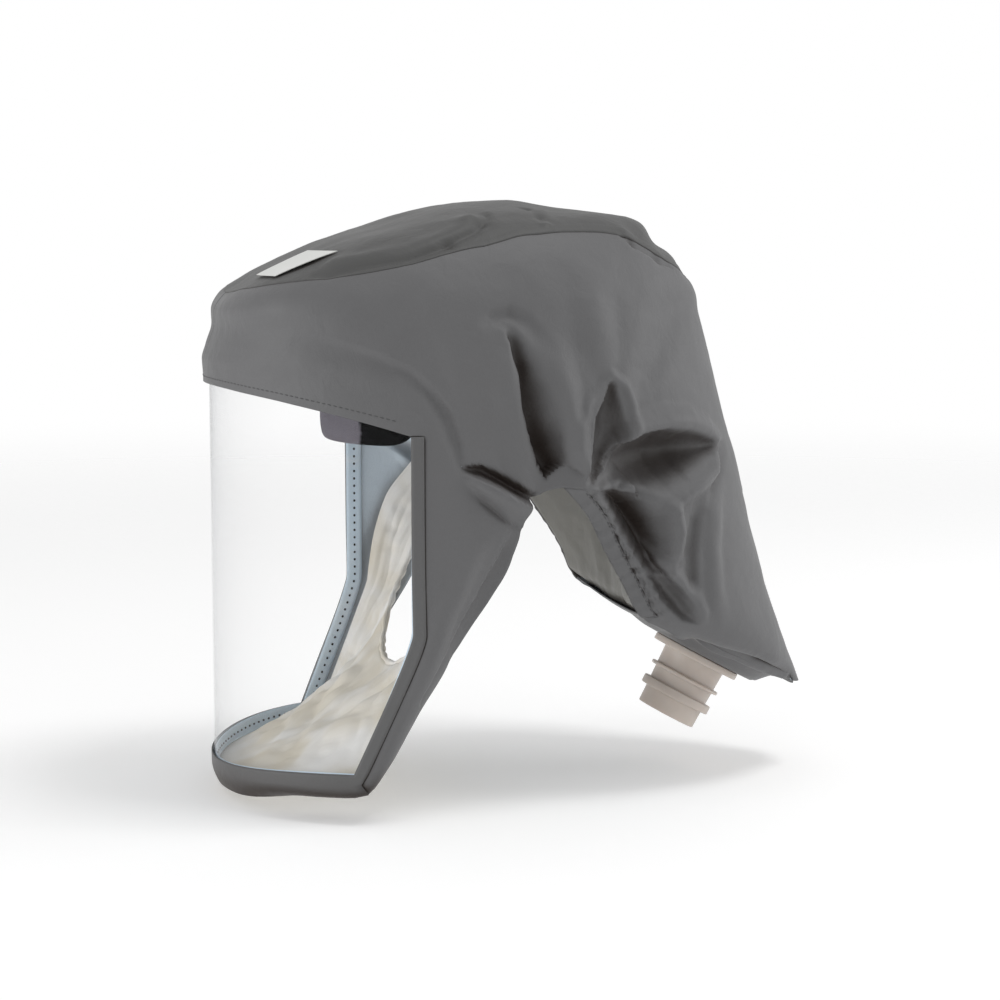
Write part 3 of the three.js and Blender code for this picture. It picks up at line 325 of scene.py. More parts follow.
def window_edge(share):
    """Window's edge from 0 at the chin by the foot corner to 1 at the top corner: angle and drop."""
    low = FOOT_ANGLE * share / FOOT_SHARE
    drop = lerp(WINDOW_FOOT, WINDOW_CORNER, (share - FOOT_SHARE) / (1 - FOOT_SHARE))
    lean = np.clip((drop - WINDOW_KNEE) / (WINDOW_FOOT - WINDOW_KNEE), 0, 1)
    high = lerp(SIDE_ANGLE, FOOT_ANGLE, lean**1.15)
    under = share <= FOOT_SHARE
    return np.where(under, low, high), np.where(under, window_chin(low), drop)


def frame_point(share, away, inset):
    """Point on the face, moved away from the window's edge."""
    share = np.asarray(share, float)
    angle, drop = window_edge(share)
    angle0, drop0 = window_edge(share - 0.02)
    angle1, drop1 = window_edge(np.minimum(1, share + 0.02))
    across, rise = (angle1 - angle0) * HALF_WIDTH, drop0 - drop1
    length = np.hypot(across, rise)
    return face_point(angle + away * rise / length / HALF_WIDTH, drop + away * across / length, inset)


def frame_end(share):
    """Free edge below the cheek, and turned in under the chin."""
    share = np.asarray(share, float)
    ahead, fall, half = np.moveaxis(hem_at(np.clip((share - FOOT_SHARE) / (1 - FOOT_SHARE), 0, 1)), -1, 0)
    cheek = stack(half * HALF_WIDTH, -ahead * FRONT_REACH, -fall * WINDOW_FOOT)
    angle, drop = window_edge(share)
    side = ease(0.3, 1, share / FOOT_SHARE)
    chin = face_point(angle, drop + lerp(CHIN_FRONT, CHIN_SIDE, side), lerp(CHIN_TUCK, CHIN_TURN, side))
    return np.where((share > FOOT_SHARE)[..., None], cheek, chin)


def frame_grid(shares, reach):
    """Rows of the cloth round the window, from the window's edge over the binding to its end."""
    s, c = np.meshgrid(shares, reach, indexing="ij")
    start, end = frame_point(s, BINDING, 0), frame_end(s)
    turn = frame_point(s, BINDING + 0.5 * np.linalg.norm(end - start, axis=-1), 0)
    t = np.clip((c - BINDING_SHARE) / (1 - BINDING_SHARE), 0, 1)[..., None]
    curved = lerp(lerp(start, turn, t), lerp(turn, end, t), t)
    flat = frame_point(s, BINDING * np.clip(c / BINDING_SHARE, 0, 1), 0)
    return np.where((c < BINDING_SHARE)[..., None], flat, curved)


def tail_point(row, share):
    """Tail behind the neck: share 0 on the hem and 1 in the middle of the back."""
    hem_back, hem_drop, hem_half, back, back_drop, half = np.moveaxis(tail_at(row), -1, 0)
    hem = stack(hem_half * TAIL_HALF, hem_back * TAIL_REACH, -hem_drop * TAIL_DROP)
    end = stack(0 * back, back * TAIL_REACH, -back_drop * TAIL_DROP)
    side = lerp(hem, end, 0.42)
    side[..., 0] = half * TAIL_HALF
    turn = end.copy()
    turn[..., 0] = half * TAIL_HALF * 0.6
    t = np.asarray(share, float)[..., None]
    middle = lerp(side, turn, t)
    return lerp(lerp(lerp(hem, side, t), middle, t), lerp(middle, lerp(turn, end, t), t), t)


# Columns round the wearer's left half, from the middle of the brow to the middle of the back
def steps(start, end, count, bend=1.0):
    return lerp(start, end, np.linspace(0, 1, count + 1) ** bend)


brow = steps(0, SIDE_ANGLE, BROW_COLUMNS, 1.25)
cheek_share = np.concatenate([
    steps(0, BINDING_SHARE, BINDING_COLUMNS), steps(BINDING_SHARE, 1, CHEEK_COLUMNS - BINDING_COLUMNS)[1:],
])
arch_share = steps(0, 1, ARCH_COLUMNS)
back_share = np.concatenate([
    steps(0, CASING_SHARE, CASING_COLUMNS), steps(CASING_SHARE, 1, BACK_COLUMNS, 1.3)[1:],
])
angles = np.concatenate([
    brow, lerp(SIDE_ANGLE, ARCH_FRONT, cheek_share)[1:], lerp(ARCH_FRONT, ARCH_BACK, arch_share)[1:],
    lerp(ARCH_BACK, math.pi, back_share)[1:],
])
hump = stack(0, 0, 4 * arch_share * (1 - arch_share))
arch = lerp(frame_end(1.0)[None], tail_point(0.0, 0.0)[None], arch_share[:, None]) + hump
feet = np.concatenate([
    body_point(brow, window_top(brow) + CLOTH), frame_grid([1.0], cheek_share)[0][1:], arch[1:],
    tail_point(0 * back_share, back_share)[1:],
])

start = seam_at(angles / math.pi)[:, 0] * CROWN_DROP
end = CLOTH - feet[:, 2]
miss = feet - body_point(angles, end)
down = np.linspace(0, 1, BODY_ROWS + 1)[:, None]
body = body_point(angles[None], lerp(start[None], end[None], down))
body = body + miss[None] * ease(0.45, 1, down)[..., None]
out = np.linspace(0, 1, CROWN_ROWS + 1)[:, None] ** 1.6
crown = body_point(angles[None], start[None] * out)
crown[0] = (0, -APEX_FORWARD, CLOTH)
side_column, arch_column = BROW_COLUMNS, BROW_COLUMNS + CHEEK_COLUMNS
tail_column = arch_column + ARCH_COLUMNS
frame_shares = np.concatenate([steps(1, FOOT_SHARE, CHEEK_ROWS), steps(FOOT_SHARE, 0, CHIN_ROWS)[1:]])
cheek = frame_grid(frame_shares, cheek_share)
cheek[0] = body[-1, side_column:arch_column + 1]
tail_rows = np.linspace(0, len(TAIL_ROWS) - 1, (len(TAIL_ROWS) - 1) * TAIL_STEPS + 1)
tail = tail_point(*np.meshgrid(tail_rows, back_share, indexing="ij"))
tail[0] = body[-1, tail_column:]


def grid_faces(rows, columns, first=0):
    """Quads of an open grid of points, numbered from first."""
    index = np.arange(rows * columns).reshape(rows, columns) + first
    return np.stack([index[:-1, :-1], index[1:, :-1], index[1:, 1:], index[:-1, 1:]], -1).reshape(-1, 4)


class Skin:
    """All the outer cloth as one welded surface, so that folds run across its seams."""

    def __init__(self):
        self.points, self.quads, self.panels, self.laps, self.count = [], [], [], [], 0

    def grid(self, rows, panel):
        """rows as an array of rows by columns, and panel a name for each of its cells."""
        r, c = rows.shape[:2]
        self.quads.append(grid_faces(r, c, self.count))
        self.panels.append(np.broadcast_to(panel, (r - 1, c - 1)).reshape(-1))
        self.points.append(rows.reshape(-1, 3))
        self.count += r * c

    def add_lap(self, columns, rows):
        """Keeps the first rows of the next grid as the lap of the crown's seam."""
        self.laps.append(grid_faces(rows + 1, columns, self.count))

    def weld(self):
        points = np.concatenate(self.points)
        _, first, back = np.unique(np.round(points, 2), axis=0, return_index=True, return_inverse=True)
        self.points = points[first]
        self.of_grid = back.reshape(-1)
        self.quads = self.of_grid[np.concatenate(self.quads)]
        self.laps = self.of_grid[np.concatenate(self.laps)]
        self.panels = np.concatenate(self.panels)

    def normals(self):
        p = self.points[self.quads]
        cross = np.cross(p[:, 2] - p[:, 0], p[:, 3] - p[:, 1])
        sums = np.zeros_like(self.points)
        for k in range(4):
            np.add.at(sums, self.quads[:, k], cross)
        return unit(sums)


skin = Skin()
for side in ("left", "right"):
    flip = (lambda g: g) if side == "left" else (lambda g: g[:, ::-1] * (-1, 1, 1))
    side_name, casing_name = f"side_{side}", f"casing_{side}"
    in_binding = np.zeros((len(cheek) - 1, cheek.shape[1] - 1), bool)
    in_binding[:, :BINDING_COLUMNS] = True
    in_binding[CHEEK_ROWS:] = True
    in_casing = np.zeros((len(tail) - 1, tail.shape[1] - 1), bool)
    in_casing[:CASING_ROWS, :CASING_COLUMNS] = True
    if side == "right":
        in_binding, in_casing = in_binding[:, ::-1], in_casing[:, ::-1]
    skin.grid(flip(crown), "crown")
    skin.add_lap(body.shape[1], LAP_ROWS)
    skin.grid(flip(body), side_name)
    skin.grid(flip(cheek), np.where(in_binding, "binding", side_name))
    skin.grid(flip(tail), np.where(in_casing, casing_name, side_name))
skin.weld()


def wander(points, size, seed=0.0):
    """Smooth noise of a size in millimetres at many points."""
    shift = Vector((seed * 7.3, seed * 3.1, seed * 5.7))
    return np.array([noise.noise(Vector(p) / size + shift) for p in points])


def creased(points, size, seed=0.0):
    """Noise with sharp ridges, as in crumpled paper."""
    return 0.25 - np.abs(wander(points, size, seed))


def off_line(y, z, line):
    """Signed distance of points from a drawn line, above zero on its first side, with the way to that
    side and the line's widths and sink beside them."""
    line = np.array(line, float)
    best = np.full(y.shape, np.inf)
    across, toward, own = np.zeros_like(y), np.zeros((*y.shape, 2)), np.zeros((*y.shape, 3))
    for a, b in zip(line[:-1], line[1:]):
        run = (b[:2] - a[:2]) / np.hypot(*(b[:2] - a[:2]))
        t = np.clip(((y - a[0]) * run[0] + (z - a[1]) * run[1]) / np.hypot(*(b[:2] - a[:2])), 0, 1)
        dy, dz = y - lerp(a[0], b[0], t), z - lerp(a[1], b[1], t)
        distance = np.hypot(dy, dz)
        nearer = distance < best
        best = np.where(nearer, distance, best)
        signed = np.where(run[0] * dz - run[1] * dy < 0, -distance, distance)
        across = np.where(nearer, signed, across)
        toward = np.where(nearer[:, None], (-run[1], run[0]), toward)
        own = np.where(nearer[:, None], lerp(a[2:], b[2:], t[:, None]), own)
    return across, toward, own


def fold_moves(points, normals):
    """How the drawn folds move the cloth. The wearer's right has the same folds, a little apart."""
    right = points[:, 0] < 0
    y = points[:, 1] + np.where(right, 4, 0)
    z = points[:, 2] + np.where(right, -3, 0)
    sunk, slid = np.zeros(len(points)), np.zeros_like(points)
    for fold in FOLDS:
        across, toward, own = off_line(y, z, fold["line"])
        first, second, sink = own.T
        first_side = across > 0
        share = np.abs(across) / np.where(first_side, first, second)
        edge = np.where(first_side, *fold["edges"])
        sunk += sink * np.maximum(1 - share**2, 0) ** edge
        if fold["lap"]:
            into = across + second if fold["lap"] > 0 else first - across
            pushed = np.exp(-((into / np.where(into > 0, LAP_EDGE, LAP_REACH)) ** 2))
            pushed = pushed * sink / max(place[4] for place in fold["line"])
            slid[:, 1:] += toward * (fold["lap"] * pushed)[:, None]
    edge_y, edge_z = np.array(UNDERSIDE).T
    below = np.interp(points[:, 1], edge_y, edge_z) - points[:, 2]
    sunk += (TURN_UNDER * (np.clip(below, 0, TURN_REACH) / TURN_REACH) ** 1.7
             * ease(82, 100, points[:, 1]) * ease(176, 158, points[:, 1]))
    facing = ease(0.15, 0.6, np.abs(normals[:, 0])) * np.where(right, 0.85, 1)
    near, distance, _, _ = off_casing(points)
    facing[near] *= np.where(points[near, 2] > -246, ease(0, 9, distance), 1)
    slid -= normals * (slid * normals).sum(1, keepdims=True)
    return (slid - normals * sunk[:, None]) * facing[:, None]


def on_left(points):
    """The same points with those of the wearer's right mirrored to the left."""
    return np.abs(points) * (1, 0, 0) + points * (0, 1, 1)


def shift_moves(points, normals):
    """How the slow shifts move the cloth."""
    moved = np.zeros_like(points)
    for x, y, z, reach_across, reach, move_y, move_z, outwards, right_only in SHIFTS:
        off = (on_left(points) - (x, y, z)) / (reach_across, reach, reach)
        weight = np.exp(-(off**2).sum(1))
        if right_only:
            weight = weight * (points[:, 0] < 0)
        moved += weight[:, None] * (np.array((0, move_y, move_z)) + outwards * normals)
    return moved


def crease_sink(points):
    """Sink of the creases at the crown seam, the same on both sides."""
    total = np.zeros(len(points))
    mirrored = on_left(points)
    near = np.where(points[:, 2] > -60)[0]
    for width, sink, line in SEAM_CREASES:
        line = np.array(line, float)
        best = np.full(len(near), np.inf)
        at = mirrored[near]
        for k, (a, b) in enumerate(zip(line[:-1], line[1:])):
            run = b - a
            t = np.clip((at - a) @ run / (run @ run), 0, 1)
            fade = np.clip(np.minimum(k + t, len(line) - 1 - k - t), 0, 0.6) / 0.6
            distance = np.linalg.norm(at - a - t[:, None] * run, axis=1)
            best = np.minimum(best, distance + 4 * width * (1 - fade) ** 2)
        total[near] += sink * np.exp(-((best / width) ** 2))
    return total


def pucker_sink(points):
    """Sink of the creases and the small puckers."""
    total = crease_sink(points)
    for x, y, z, radius, sink in PUCKERS:
        for side in (1, -1):
            away = np.linalg.norm(points - (side * x, y, z), axis=1) / radius
            total += sink * np.exp(-(away**2))
    return total


def off_casing(points):
    """Distance from the casings' inner edge, below zero on them, with the places that are near it."""
    rows = np.linspace(0, CASING_ROW, 90)
    line = tail_point(rows, 0 * rows + CASING_SHARE)
    hem = tail_point(rows, 0 * rows)
    step = np.linalg.norm(np.diff(line, axis=0), axis=1)
    along = np.concatenate([[0], np.cumsum(step)])
    own = on_left(points)
    near = np.where((own[:, 2] < -125) & (own[:, 1] > 2))[0]
    gap = np.linalg.norm(own[near, None] - line[None], axis=2)
    k = gap.argmin(1)
    distance = gap[np.arange(len(near)), k]
    inward = np.linalg.norm(own[near] - hem[k], axis=1) < np.linalg.norm(line[k] - hem[k], axis=1)
    distance = np.where(inward & (distance > 0.5), -distance, distance)
    return near, distance, along[k], along[-1]


def gather_lift(points):
    """Pleats that run off the elastic of the hem casings."""
    near, distance, along, length = off_casing(points)
    side = np.sign(points[near, 0])
    jitter = [noise.noise(Vector((a / 9, 0.03 * d, 1.7 * x))) for a, d, x in zip(along, distance, side)]
    place = along + 2.0 * np.array(jitter)
    strength = ease(0, 12, along) * ease(length, length - 25, along)
    ripple = np.sin(place * 2 * math.pi / PLEAT) + 0.5 * np.sin(place * 2 * math.pi / FINE_PLEAT + 1.3)
    fade = np.where(distance > 0, np.exp(-distance / PLEAT_REACH), 0.4)
    lift = np.zeros(len(points))
    lift[near] = strength * (PLEAT_HEIGHT * ripple * fade - 0.9 * np.exp(-((distance / 2.6) ** 2)))
    rolled = np.sin(np.clip(-distance / 12, 0, 1) * math.pi)
    lift[near] += strength * np.where(distance < 0, 0.9 * rolled, 0)
    return lift


skin.points = skin.points + shift_moves(skin.points, skin.normals())
normals = skin.normals()
skin.points = skin.points + fold_moves(skin.points, normals) - normals * pucker_sink(skin.points)[:, None]
normals = skin.normals()
soft = sum(height * wander(skin.points, size, seed) for height, size, seed in WAVES)
lift = soft * np.where(skin.points[:, 2] > -WINDOW_CORNER - 12, 1, 0.9) + gather_lift(skin.points)
face_edge = ease(-EAR_FORWARD + 6, -EAR_FORWARD - 6, skin.points[:, 1]) * ease(-90, -116, skin.points[:, 2])
skin.points = skin.points + normals * (lift * (1 - 0.75 * face_edge))[:, None]
skin_normals = skin.normals()


# Shader nodes as Python expressions
class Wire:
    """A shader socket that Python's own operators work on."""

    def __init__(self, paint, socket):
        self.paint, self.socket = paint, socket

    def maths(self, operation, *values):
        return self.paint.node("ShaderNodeMath", {"operation": operation}, dict(enumerate(values)))

    def __add__(self, other):
        return self.maths("ADD", self, other)

    def __sub__(self, other):
        return self.maths("SUBTRACT", self, other)

    def __rsub__(self, other):
        return self.maths("SUBTRACT", other, self)

    def __mul__(self, other):
        return self.maths("MULTIPLY", self, other)

    def __pow__(self, other):
        return self.maths("POWER", self, other)

    def over(self, low, high):
        """0 below low and 1 above high, smooth between."""
        settings = {"interpolation_type": "SMOOTHSTEP"}
        values = {"Value": self, "From Min": low, "From Max": high}
        return self.paint.node("ShaderNodeMapRange", settings, values)

    __radd__ = __add__
    __rmul__ = __mul__


class Paint:
    """One material and the nodes that make it."""

    def __init__(self, name, view_colour):
        self.material = bpy.data.materials.new(name)
        self.material.use_nodes = True
        self.material.diffuse_color = (*view_colour, 1)
        self.tree = self.material.node_tree
        self.shader = self.tree.nodes["Principled BSDF"]
        self.place = self.node("ShaderNodeTexCoord", {}, {}, "Object")

    def node(self, kind, settings, values, output=0):
        node = self.tree.nodes.new(kind)
        for key, value in settings.items():
            setattr(node, key, value)
        for key, value in values.items():
            self.feed(node.inputs[key], value)
        return Wire(self, node.outputs[output])

    def feed(self, socket, value):
        if isinstance(value, Wire):
            self.tree.links.new(value.socket, socket)
        elif socket.type == "RGBA" and len(value) == 3:
            socket.default_value = (*value, 1)
        else:
            socket.default_value = value

    def set(self, **values):
        for key, value in values.items():
            self.feed(self.shader.inputs[key.replace("_", " ")], value)

    def noise(self, scale, detail=3.0, roughness=0.5, distortion=0.0, place=None):
        values = {"Vector": place or self.place, "Scale": scale, "Detail": detail, "Roughness": roughness,
                  "Distortion": distortion}
        return self.node("ShaderNodeTexNoise", {}, values)

    def cells(self, scale):
        return self.node("ShaderNodeTexVoronoi", {}, {"Vector": self.place, "Scale": scale})

    def blend(self, factor, first, second, mode="MIX"):
        settings = {"data_type": "RGBA", "blend_type": mode}
        return self.node("ShaderNodeMix", settings, {0: factor, 6: first, 7: second}, 2)

    def stretched(self, x, y, z):
        return self.node("ShaderNodeVectorMath", {"operation": "MULTIPLY"}, {0: self.place, 1: (x, y, z)})

    def bump(self, height, distance, strength=1.0, under=None):
        values = {"Height": height, "Distance": distance, "Strength": strength}
        if under:
            values["Normal"] = under
        return self.node("ShaderNodeBump", {}, values)

    def shade(self, distance):
        """How open the surface is: 0 deep in a crease and 1 in the open."""
        return self.node("ShaderNodeAmbientOcclusion", {"samples": 6}, {"Distance": distance}, "AO")


def coated_cloth(name, colour, shadow, rough=0.6):
    """Coated nonwoven: fibre flecks, faint crush marks, and warm painted shade in its creases."""
    paint = Paint(name, colour)
    fleck = paint.noise(1400, 2, 0.6)
    fibre = paint.noise(1.0, 3, 0.6, 0.4, paint.stretched(260, 900, 420))
    cloud = paint.noise(22, 3, 0.5)
    crush = paint.noise(75, 4, 0.55, 1.6)
    tone = 0.86 + 0.12 * cloud + 0.08 * fleck + 0.08 * fibre
    grey = paint.node("ShaderNodeCombineColor", {}, {0: tone, 1: tone, 2: tone})
    paled = paint.blend(1.0, colour, grey, "MULTIPLY")
    # painted shade: the colour turns to the shadow colour where the surface is closed in, deep in creases and
    # folds
    crease = (1 - paint.shade(0.045)).over(0.14, 0.56)
    paint.set(Base_Color=paint.blend(crease, paled, shadow))
    paint.set(Roughness=rough + 0.12 * (fleck - 0.5) - 0.06 * cloud)
    crushed = paint.bump(crush, 0.0012, 0.35)
    paint.set(Normal=paint.bump(fleck + 0.7 * fibre, 0.00012, 0.6, crushed))
    paint.set(Sheen_Weight=0.12, Sheen_Roughness=0.4, Specular_IOR_Level=0.4)
    return paint.material


def clear_film(name):
    """Thin clear window film, greyer where it is seen edge on."""
    paint = Paint(name, (0.9, 0.93, 0.95))
    edge = paint.node("ShaderNodeLayerWeight", {}, {"Blend": 0.35}, "Facing")
    cloud = paint.noise(9, 2, 0.5, 0.5)
    paint.set(Base_Color=(0.66, 0.67, 0.69), Roughness=0.06 + 0.05 * cloud, Specular_IOR_Level=0.2)
    paint.set(Alpha=0.008 + 0.24 * edge**2 + 0.46 * edge**6)
    paint.set(Normal=paint.bump(paint.noise(6, 2, 0.4), 0.004, 0.25))
    return paint.material


def needled_tape(name):
    paint = Paint(name, (0.29, 0.36, 0.44))
    smear = paint.noise(38, 4, 0.6, 1.2)
    weave = paint.noise(900, 2, 0.5)
    colour = paint.blend(smear.over(0.42, 0.8), (0.72, 0.85, 0.96), (0.82, 0.90, 0.97))
    paint.set(Base_Color=colour, Roughness=0.62 + 0.1 * weave, Specular_IOR_Level=0.35)
    paint.set(Normal=paint.bump(weave, 0.0001, 0.5, paint.bump(smear, 0.0012, 0.4)))
    return paint.material


def crumpled_cream(name):
    paint = Paint(name, (0.55, 0.52, 0.46))
    crumple = paint.noise(20, 3, 0.5, 0.8)
    fibre = paint.noise(1100, 2, 0.6)
    # the cream's own colour, painted lighter where the crumple bumps rise: painted light on their facets
    tone = paint.blend(crumple.over(0.3, 0.7), (0.66, 0.61, 0.51), (0.80, 0.79, 0.77))
    # painted shade: the cream turns brown deep in its crumples
    crease = (1 - paint.shade(0.018)).over(0.3, 0.95)
    paint.set(Base_Color=paint.blend(crease, tone, (0.42, 0.37, 0.31)), Roughness=0.74 + 0.1 * fibre)
    paint.set(Normal=paint.bump(fibre, 0.0001, 0.4, paint.bump(crumple, 0.003, 0.5)))
    return paint.material


def milky_plastic(name):
    paint = Paint(name, (0.45, 0.41, 0.38))
    cloud = paint.noise(45, 3, 0.5)
    scuff = paint.noise(1.0, 3, 0.7, 0.2, paint.stretched(90, 90, 900))
    paint.set(Base_Color=paint.blend(cloud, (0.47, 0.41, 0.365), (0.62, 0.56, 0.51)))
    paint.set(Roughness=0.34 + 0.16 * scuff, Subsurface_Weight=0.35, Subsurface_Scale=0.006)
    paint.set(Subsurface_Radius=(1.0, 0.8, 0.65), Specular_IOR_Level=0.45)
    paint.set(Normal=paint.bump(scuff, 0.00005, 0.4))
    return paint.material


def satin_patch(name):
    paint = Paint(name, (0.72, 0.74, 0.73))
    grain = paint.noise(600, 2, 0.5)
    cloud = paint.noise(60, 2, 0.5)
    paint.set(Base_Color=paint.blend(cloud, (0.68, 0.69, 0.67), (0.75, 0.75, 0.73)))
    paint.set(Roughness=0.42 + 0.1 * grain, Normal=paint.bump(grain, 0.00006, 0.5))
    return paint.material


def shaded_brow_pad(name):
    """Pad colour in front, and near-black painted shade on the part of the pad behind it."""
    paint = Paint(name, (0.14, 0.13, 0.145))
    pile = paint.noise(1.0, 3, 0.7, 0.6, paint.stretched(900, 350, 1500))
    cell = paint.cells(700)
    ragged = paint.noise(180, 3, 0.6)
    along = paint.node("ShaderNodeSeparateXYZ", {}, {0: paint.place}, "Y")
    # painted shade: behind this place along the pad it is painted near black, where the pad lies in shade
    dark = (along + 0.004 * (ragged - 0.5)).over(-0.0885, -0.0870)
    foam = paint.blend(cell.over(0.0, 0.6), (0.115, 0.108, 0.125), (0.15, 0.14, 0.16))
    black = paint.blend(pile.over(0.45, 0.8), (0.0006, 0.0005, 0.0006), (0.004, 0.0035, 0.004))
    paint.set(Base_Color=paint.blend(dark, foam, black), Roughness=0.92 - 0.1 * pile)
    paint.set(Normal=paint.bump(pile * dark + cell * (1 - dark), 0.0003, 0.4), Specular_IOR_Level=0.03)
    return paint.material


def black_band(name):
    paint = Paint(name, (0.03, 0.03, 0.03))
    grain = paint.noise(500, 2, 0.5)
    paint.set(Base_Color=paint.blend(grain, (0.018, 0.017, 0.02), (0.035, 0.033, 0.037)))
    paint.set(Roughness=0.45 + 0.15 * grain, Normal=paint.bump(grain, 0.00006, 0.5))
    return paint.material


def sewing_thread(name, colour):
    paint = Paint(name, colour)
    values = {"Vector": paint.place, "Scale": 900, "Distortion": 2}
    twist = paint.node("ShaderNodeTexWave", {"bands_direction": "DIAGONAL"}, values)
    darker = tuple(0.6 * c for c in colour)
    paint.set(Base_Color=paint.blend(twist, darker, colour), Roughness=0.6 + 0.1 * twist)
    paint.set(Normal=paint.bump(twist, 0.0001, 0.5))
    return paint.material


WARM_SHADOW = (0.026, 0.018, 0.014)
# The crown is the same cloth as the sides, painted darker: painted shade on the top of the hood.
crown_cloth = coated_cloth("crown_cloth", (0.079, 0.079, 0.078), WARM_SHADOW)
hood_cloth = coated_cloth("hood_cloth", (0.124, 0.124, 0.127), WARM_SHADOW)
binding_cloth = coated_cloth("binding_cloth", (0.109, 0.109, 0.110), WARM_SHADOW)
lining_side = coated_cloth("lining_side", (0.58, 0.66, 0.73), (0.36, 0.38, 0.40), 0.7)
neck_cloth = coated_cloth("neck_cloth", (0.148, 0.144, 0.130), (0.095, 0.088, 0.078))
cream_cloth = crumpled_cream("cream_cloth")
blue_tape = needled_tape("blue_tape")
film = clear_film("clear_film")
milky = milky_plastic("spigot_plastic")
patch = satin_patch("label")
pile = shaded_brow_pad("pad_foam")
band_black = black_band("band_plastic")
grey_thread = sewing_thread("grey_thread", (0.10, 0.10, 0.102))
dark_holes = sewing_thread("needle_holes", (0.02, 0.02, 0.025))


def make_mesh(name, points, faces, materials):
    """Object from points in millimetres."""
    mesh = bpy.data.meshes.new(name)
    mesh.from_pydata((np.asarray(points, float) * MM).tolist(), [], [list(map(int, f)) for f in faces])
    mesh.validate()
    piece = bpy.data.objects.new(name, mesh)
    bpy.context.scene.collection.objects.link(piece)
    for material in materials:
        mesh.materials.append(material)
    mesh.polygons.foreach_set("use_smooth", [True] * len(mesh.polygons))
    mesh.update()
    return piece


def thicken(piece, thickness):
    """Gives a sheet its thickness, inwards from the side that its faces look to."""
    wall = piece.modifiers.new("wall", "SOLIDIFY")
    wall.thickness = thickness * MM
    wall.offset = -1


def shell(name, outer, inner, rings, materials):
    """Closed wall between two sheets of points that share their faces: lining inside, rim round its edges."""
    count = len(outer)
    edges = {(a, b) for ring in rings for a, b in zip(ring, ring[1:] + ring[:1])}
    rim = [(b, a, a + count, b + count) for a, b in sorted(edges) if (b, a) not in edges]
    back = [[i + count for i in reversed(ring)] for ring in rings]
    piece = make_mesh(name, np.concatenate([outer, inner]), [*rings, *rim, *back], materials)
    slots = [0] * (len(rings) + len(rim)) + [1] * len(back)
    piece.data.polygons.foreach_set("material_index", slots)
    return piece


def area_of(points, faces):
    """Area in square metres of quads given in millimetres."""
    p = np.asarray(points)[np.asarray(faces)]
    return 0.5 * np.linalg.norm(np.cross(p[:, 2] - p[:, 0], p[:, 3] - p[:, 1]), axis=1).sum() * MM * MM


def settle(piece, slot, *nodes):
    """Puts a piece on its body and hides the nodes that it stands for. The slot is not used."""
    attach(piece, "root")
    if nodes:
        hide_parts(*nodes)


CROWN_PROUD, BINDING_PROUD = 0.25, 0.5


def panel_piece(panel, material, slot, node, lining=lining_side):
    """One panel of the skin as a wall of cloth, a little proud where it lies on the next one."""
    faces = skin.quads[skin.panels == panel]
    raised = np.zeros(len(skin.points))
    if panel == "crown":
        faces = np.concatenate([faces, skin.laps])
        raised[np.unique(skin.laps)] = CROWN_PROUD
    if panel == "binding":
        raised += BINDING_PROUD
    used, local = np.unique(faces, return_inverse=True)
    faces = local.reshape(-1, 4)
    rings = [list(dict.fromkeys(face)) for face in faces.tolist()]
    rings = [ring for ring in rings if len(ring) > 2]
    outer = (skin.points + skin_normals * raised[:, None])[used]
    piece = shell(panel, outer, outer - skin_normals[used] * CLOTH_LOOK, rings, [material, lining])
    settle(piece, slot, node)


panel_piece("crown", crown_cloth, "crown_cloth", "crown_panel")
for side in ("left", "right"):
    panel_piece(f"side_{side}", hood_cloth, "hood_cloth", f"side_panel_{side}")
for side in ("left", "right"):
    panel_piece(f"casing_{side}", hood_cloth, "hood_cloth", f"hem_casing_{side}", neck_cloth)
panel_piece("binding", binding_cloth, "binding_cloth", "window_binding")


# Sheets given as rows of points
def sheet_piece(name, rows, material, thickness, in_opening=None):
    """A sheet with its thickness and its area, without the cells that lie in an opening."""
    rows = np.asarray(rows, float)
    faces = grid_faces(*rows.shape[:2])
    points = rows.reshape(-1, 3)
    if in_opening:
        faces = faces[~in_opening(points[faces].mean(1))]
    piece = make_mesh(name, points, faces, [material])
    thicken(piece, thickness)
    return piece, area_of(points, faces)


def both_halves(left):
    """Whole rows from rows of the left half, which start in the middle."""
    right = left[:, 1:][:, ::-1] * (-1, 1, 1)
    return np.concatenate([right, left], 1)


def row_normals(rows):
    across, downward = np.gradient(rows, axis=1), np.gradient(rows, axis=0)
    return unit(np.cross(downward, across))


# Window film
film_angles = steps(0, SIDE_ANGLE + WINDOW_LAP / (HALF_WIDTH - WINDOW_INSET), 80)
film_share = steps(1, FOOT_SHARE, 70)
edge_x = frame_point(film_share, WINDOW_LAP, WINDOW_INSET)[:, 0]
film_side = np.arcsin(edge_x / (HALF_WIDTH - WINDOW_INSET))
film_angle = np.minimum(film_angles[None], film_side[:, None])
film_top = window_top(np.minimum(film_angle, SIDE_ANGLE)) - WINDOW_LAP
film_down = ((1 - film_share) / (1 - FOOT_SHARE))[:, None]
film_drop = lerp(film_top, window_chin(film_angle) + WINDOW_LAP, film_down)
film_rows = both_halves(face_point(film_angle, film_drop, WINDOW_INSET))
window_piece, _ = sheet_piece("window_film", film_rows, film, FILM_LOOK)
settle(window_piece, "clear_film", "window")

# Tape round the window, with its needle holes
tape_share = np.concatenate([steps(0, FOOT_SHARE, 70), steps(FOOT_SHARE, 0.97, 60)[1:]])
tape_rows = np.stack([frame_point(tape_share, away, TAPE_INSET) for away in (0, 2, 4.5, 7, TAPE_WIDTH)])
tape_piece, tape_area = sheet_piece("tape_strip", both_halves(tape_rows), blue_tape, TAPE_LOOK)
settle(tape_piece, "blue_tape", "inner_tape")

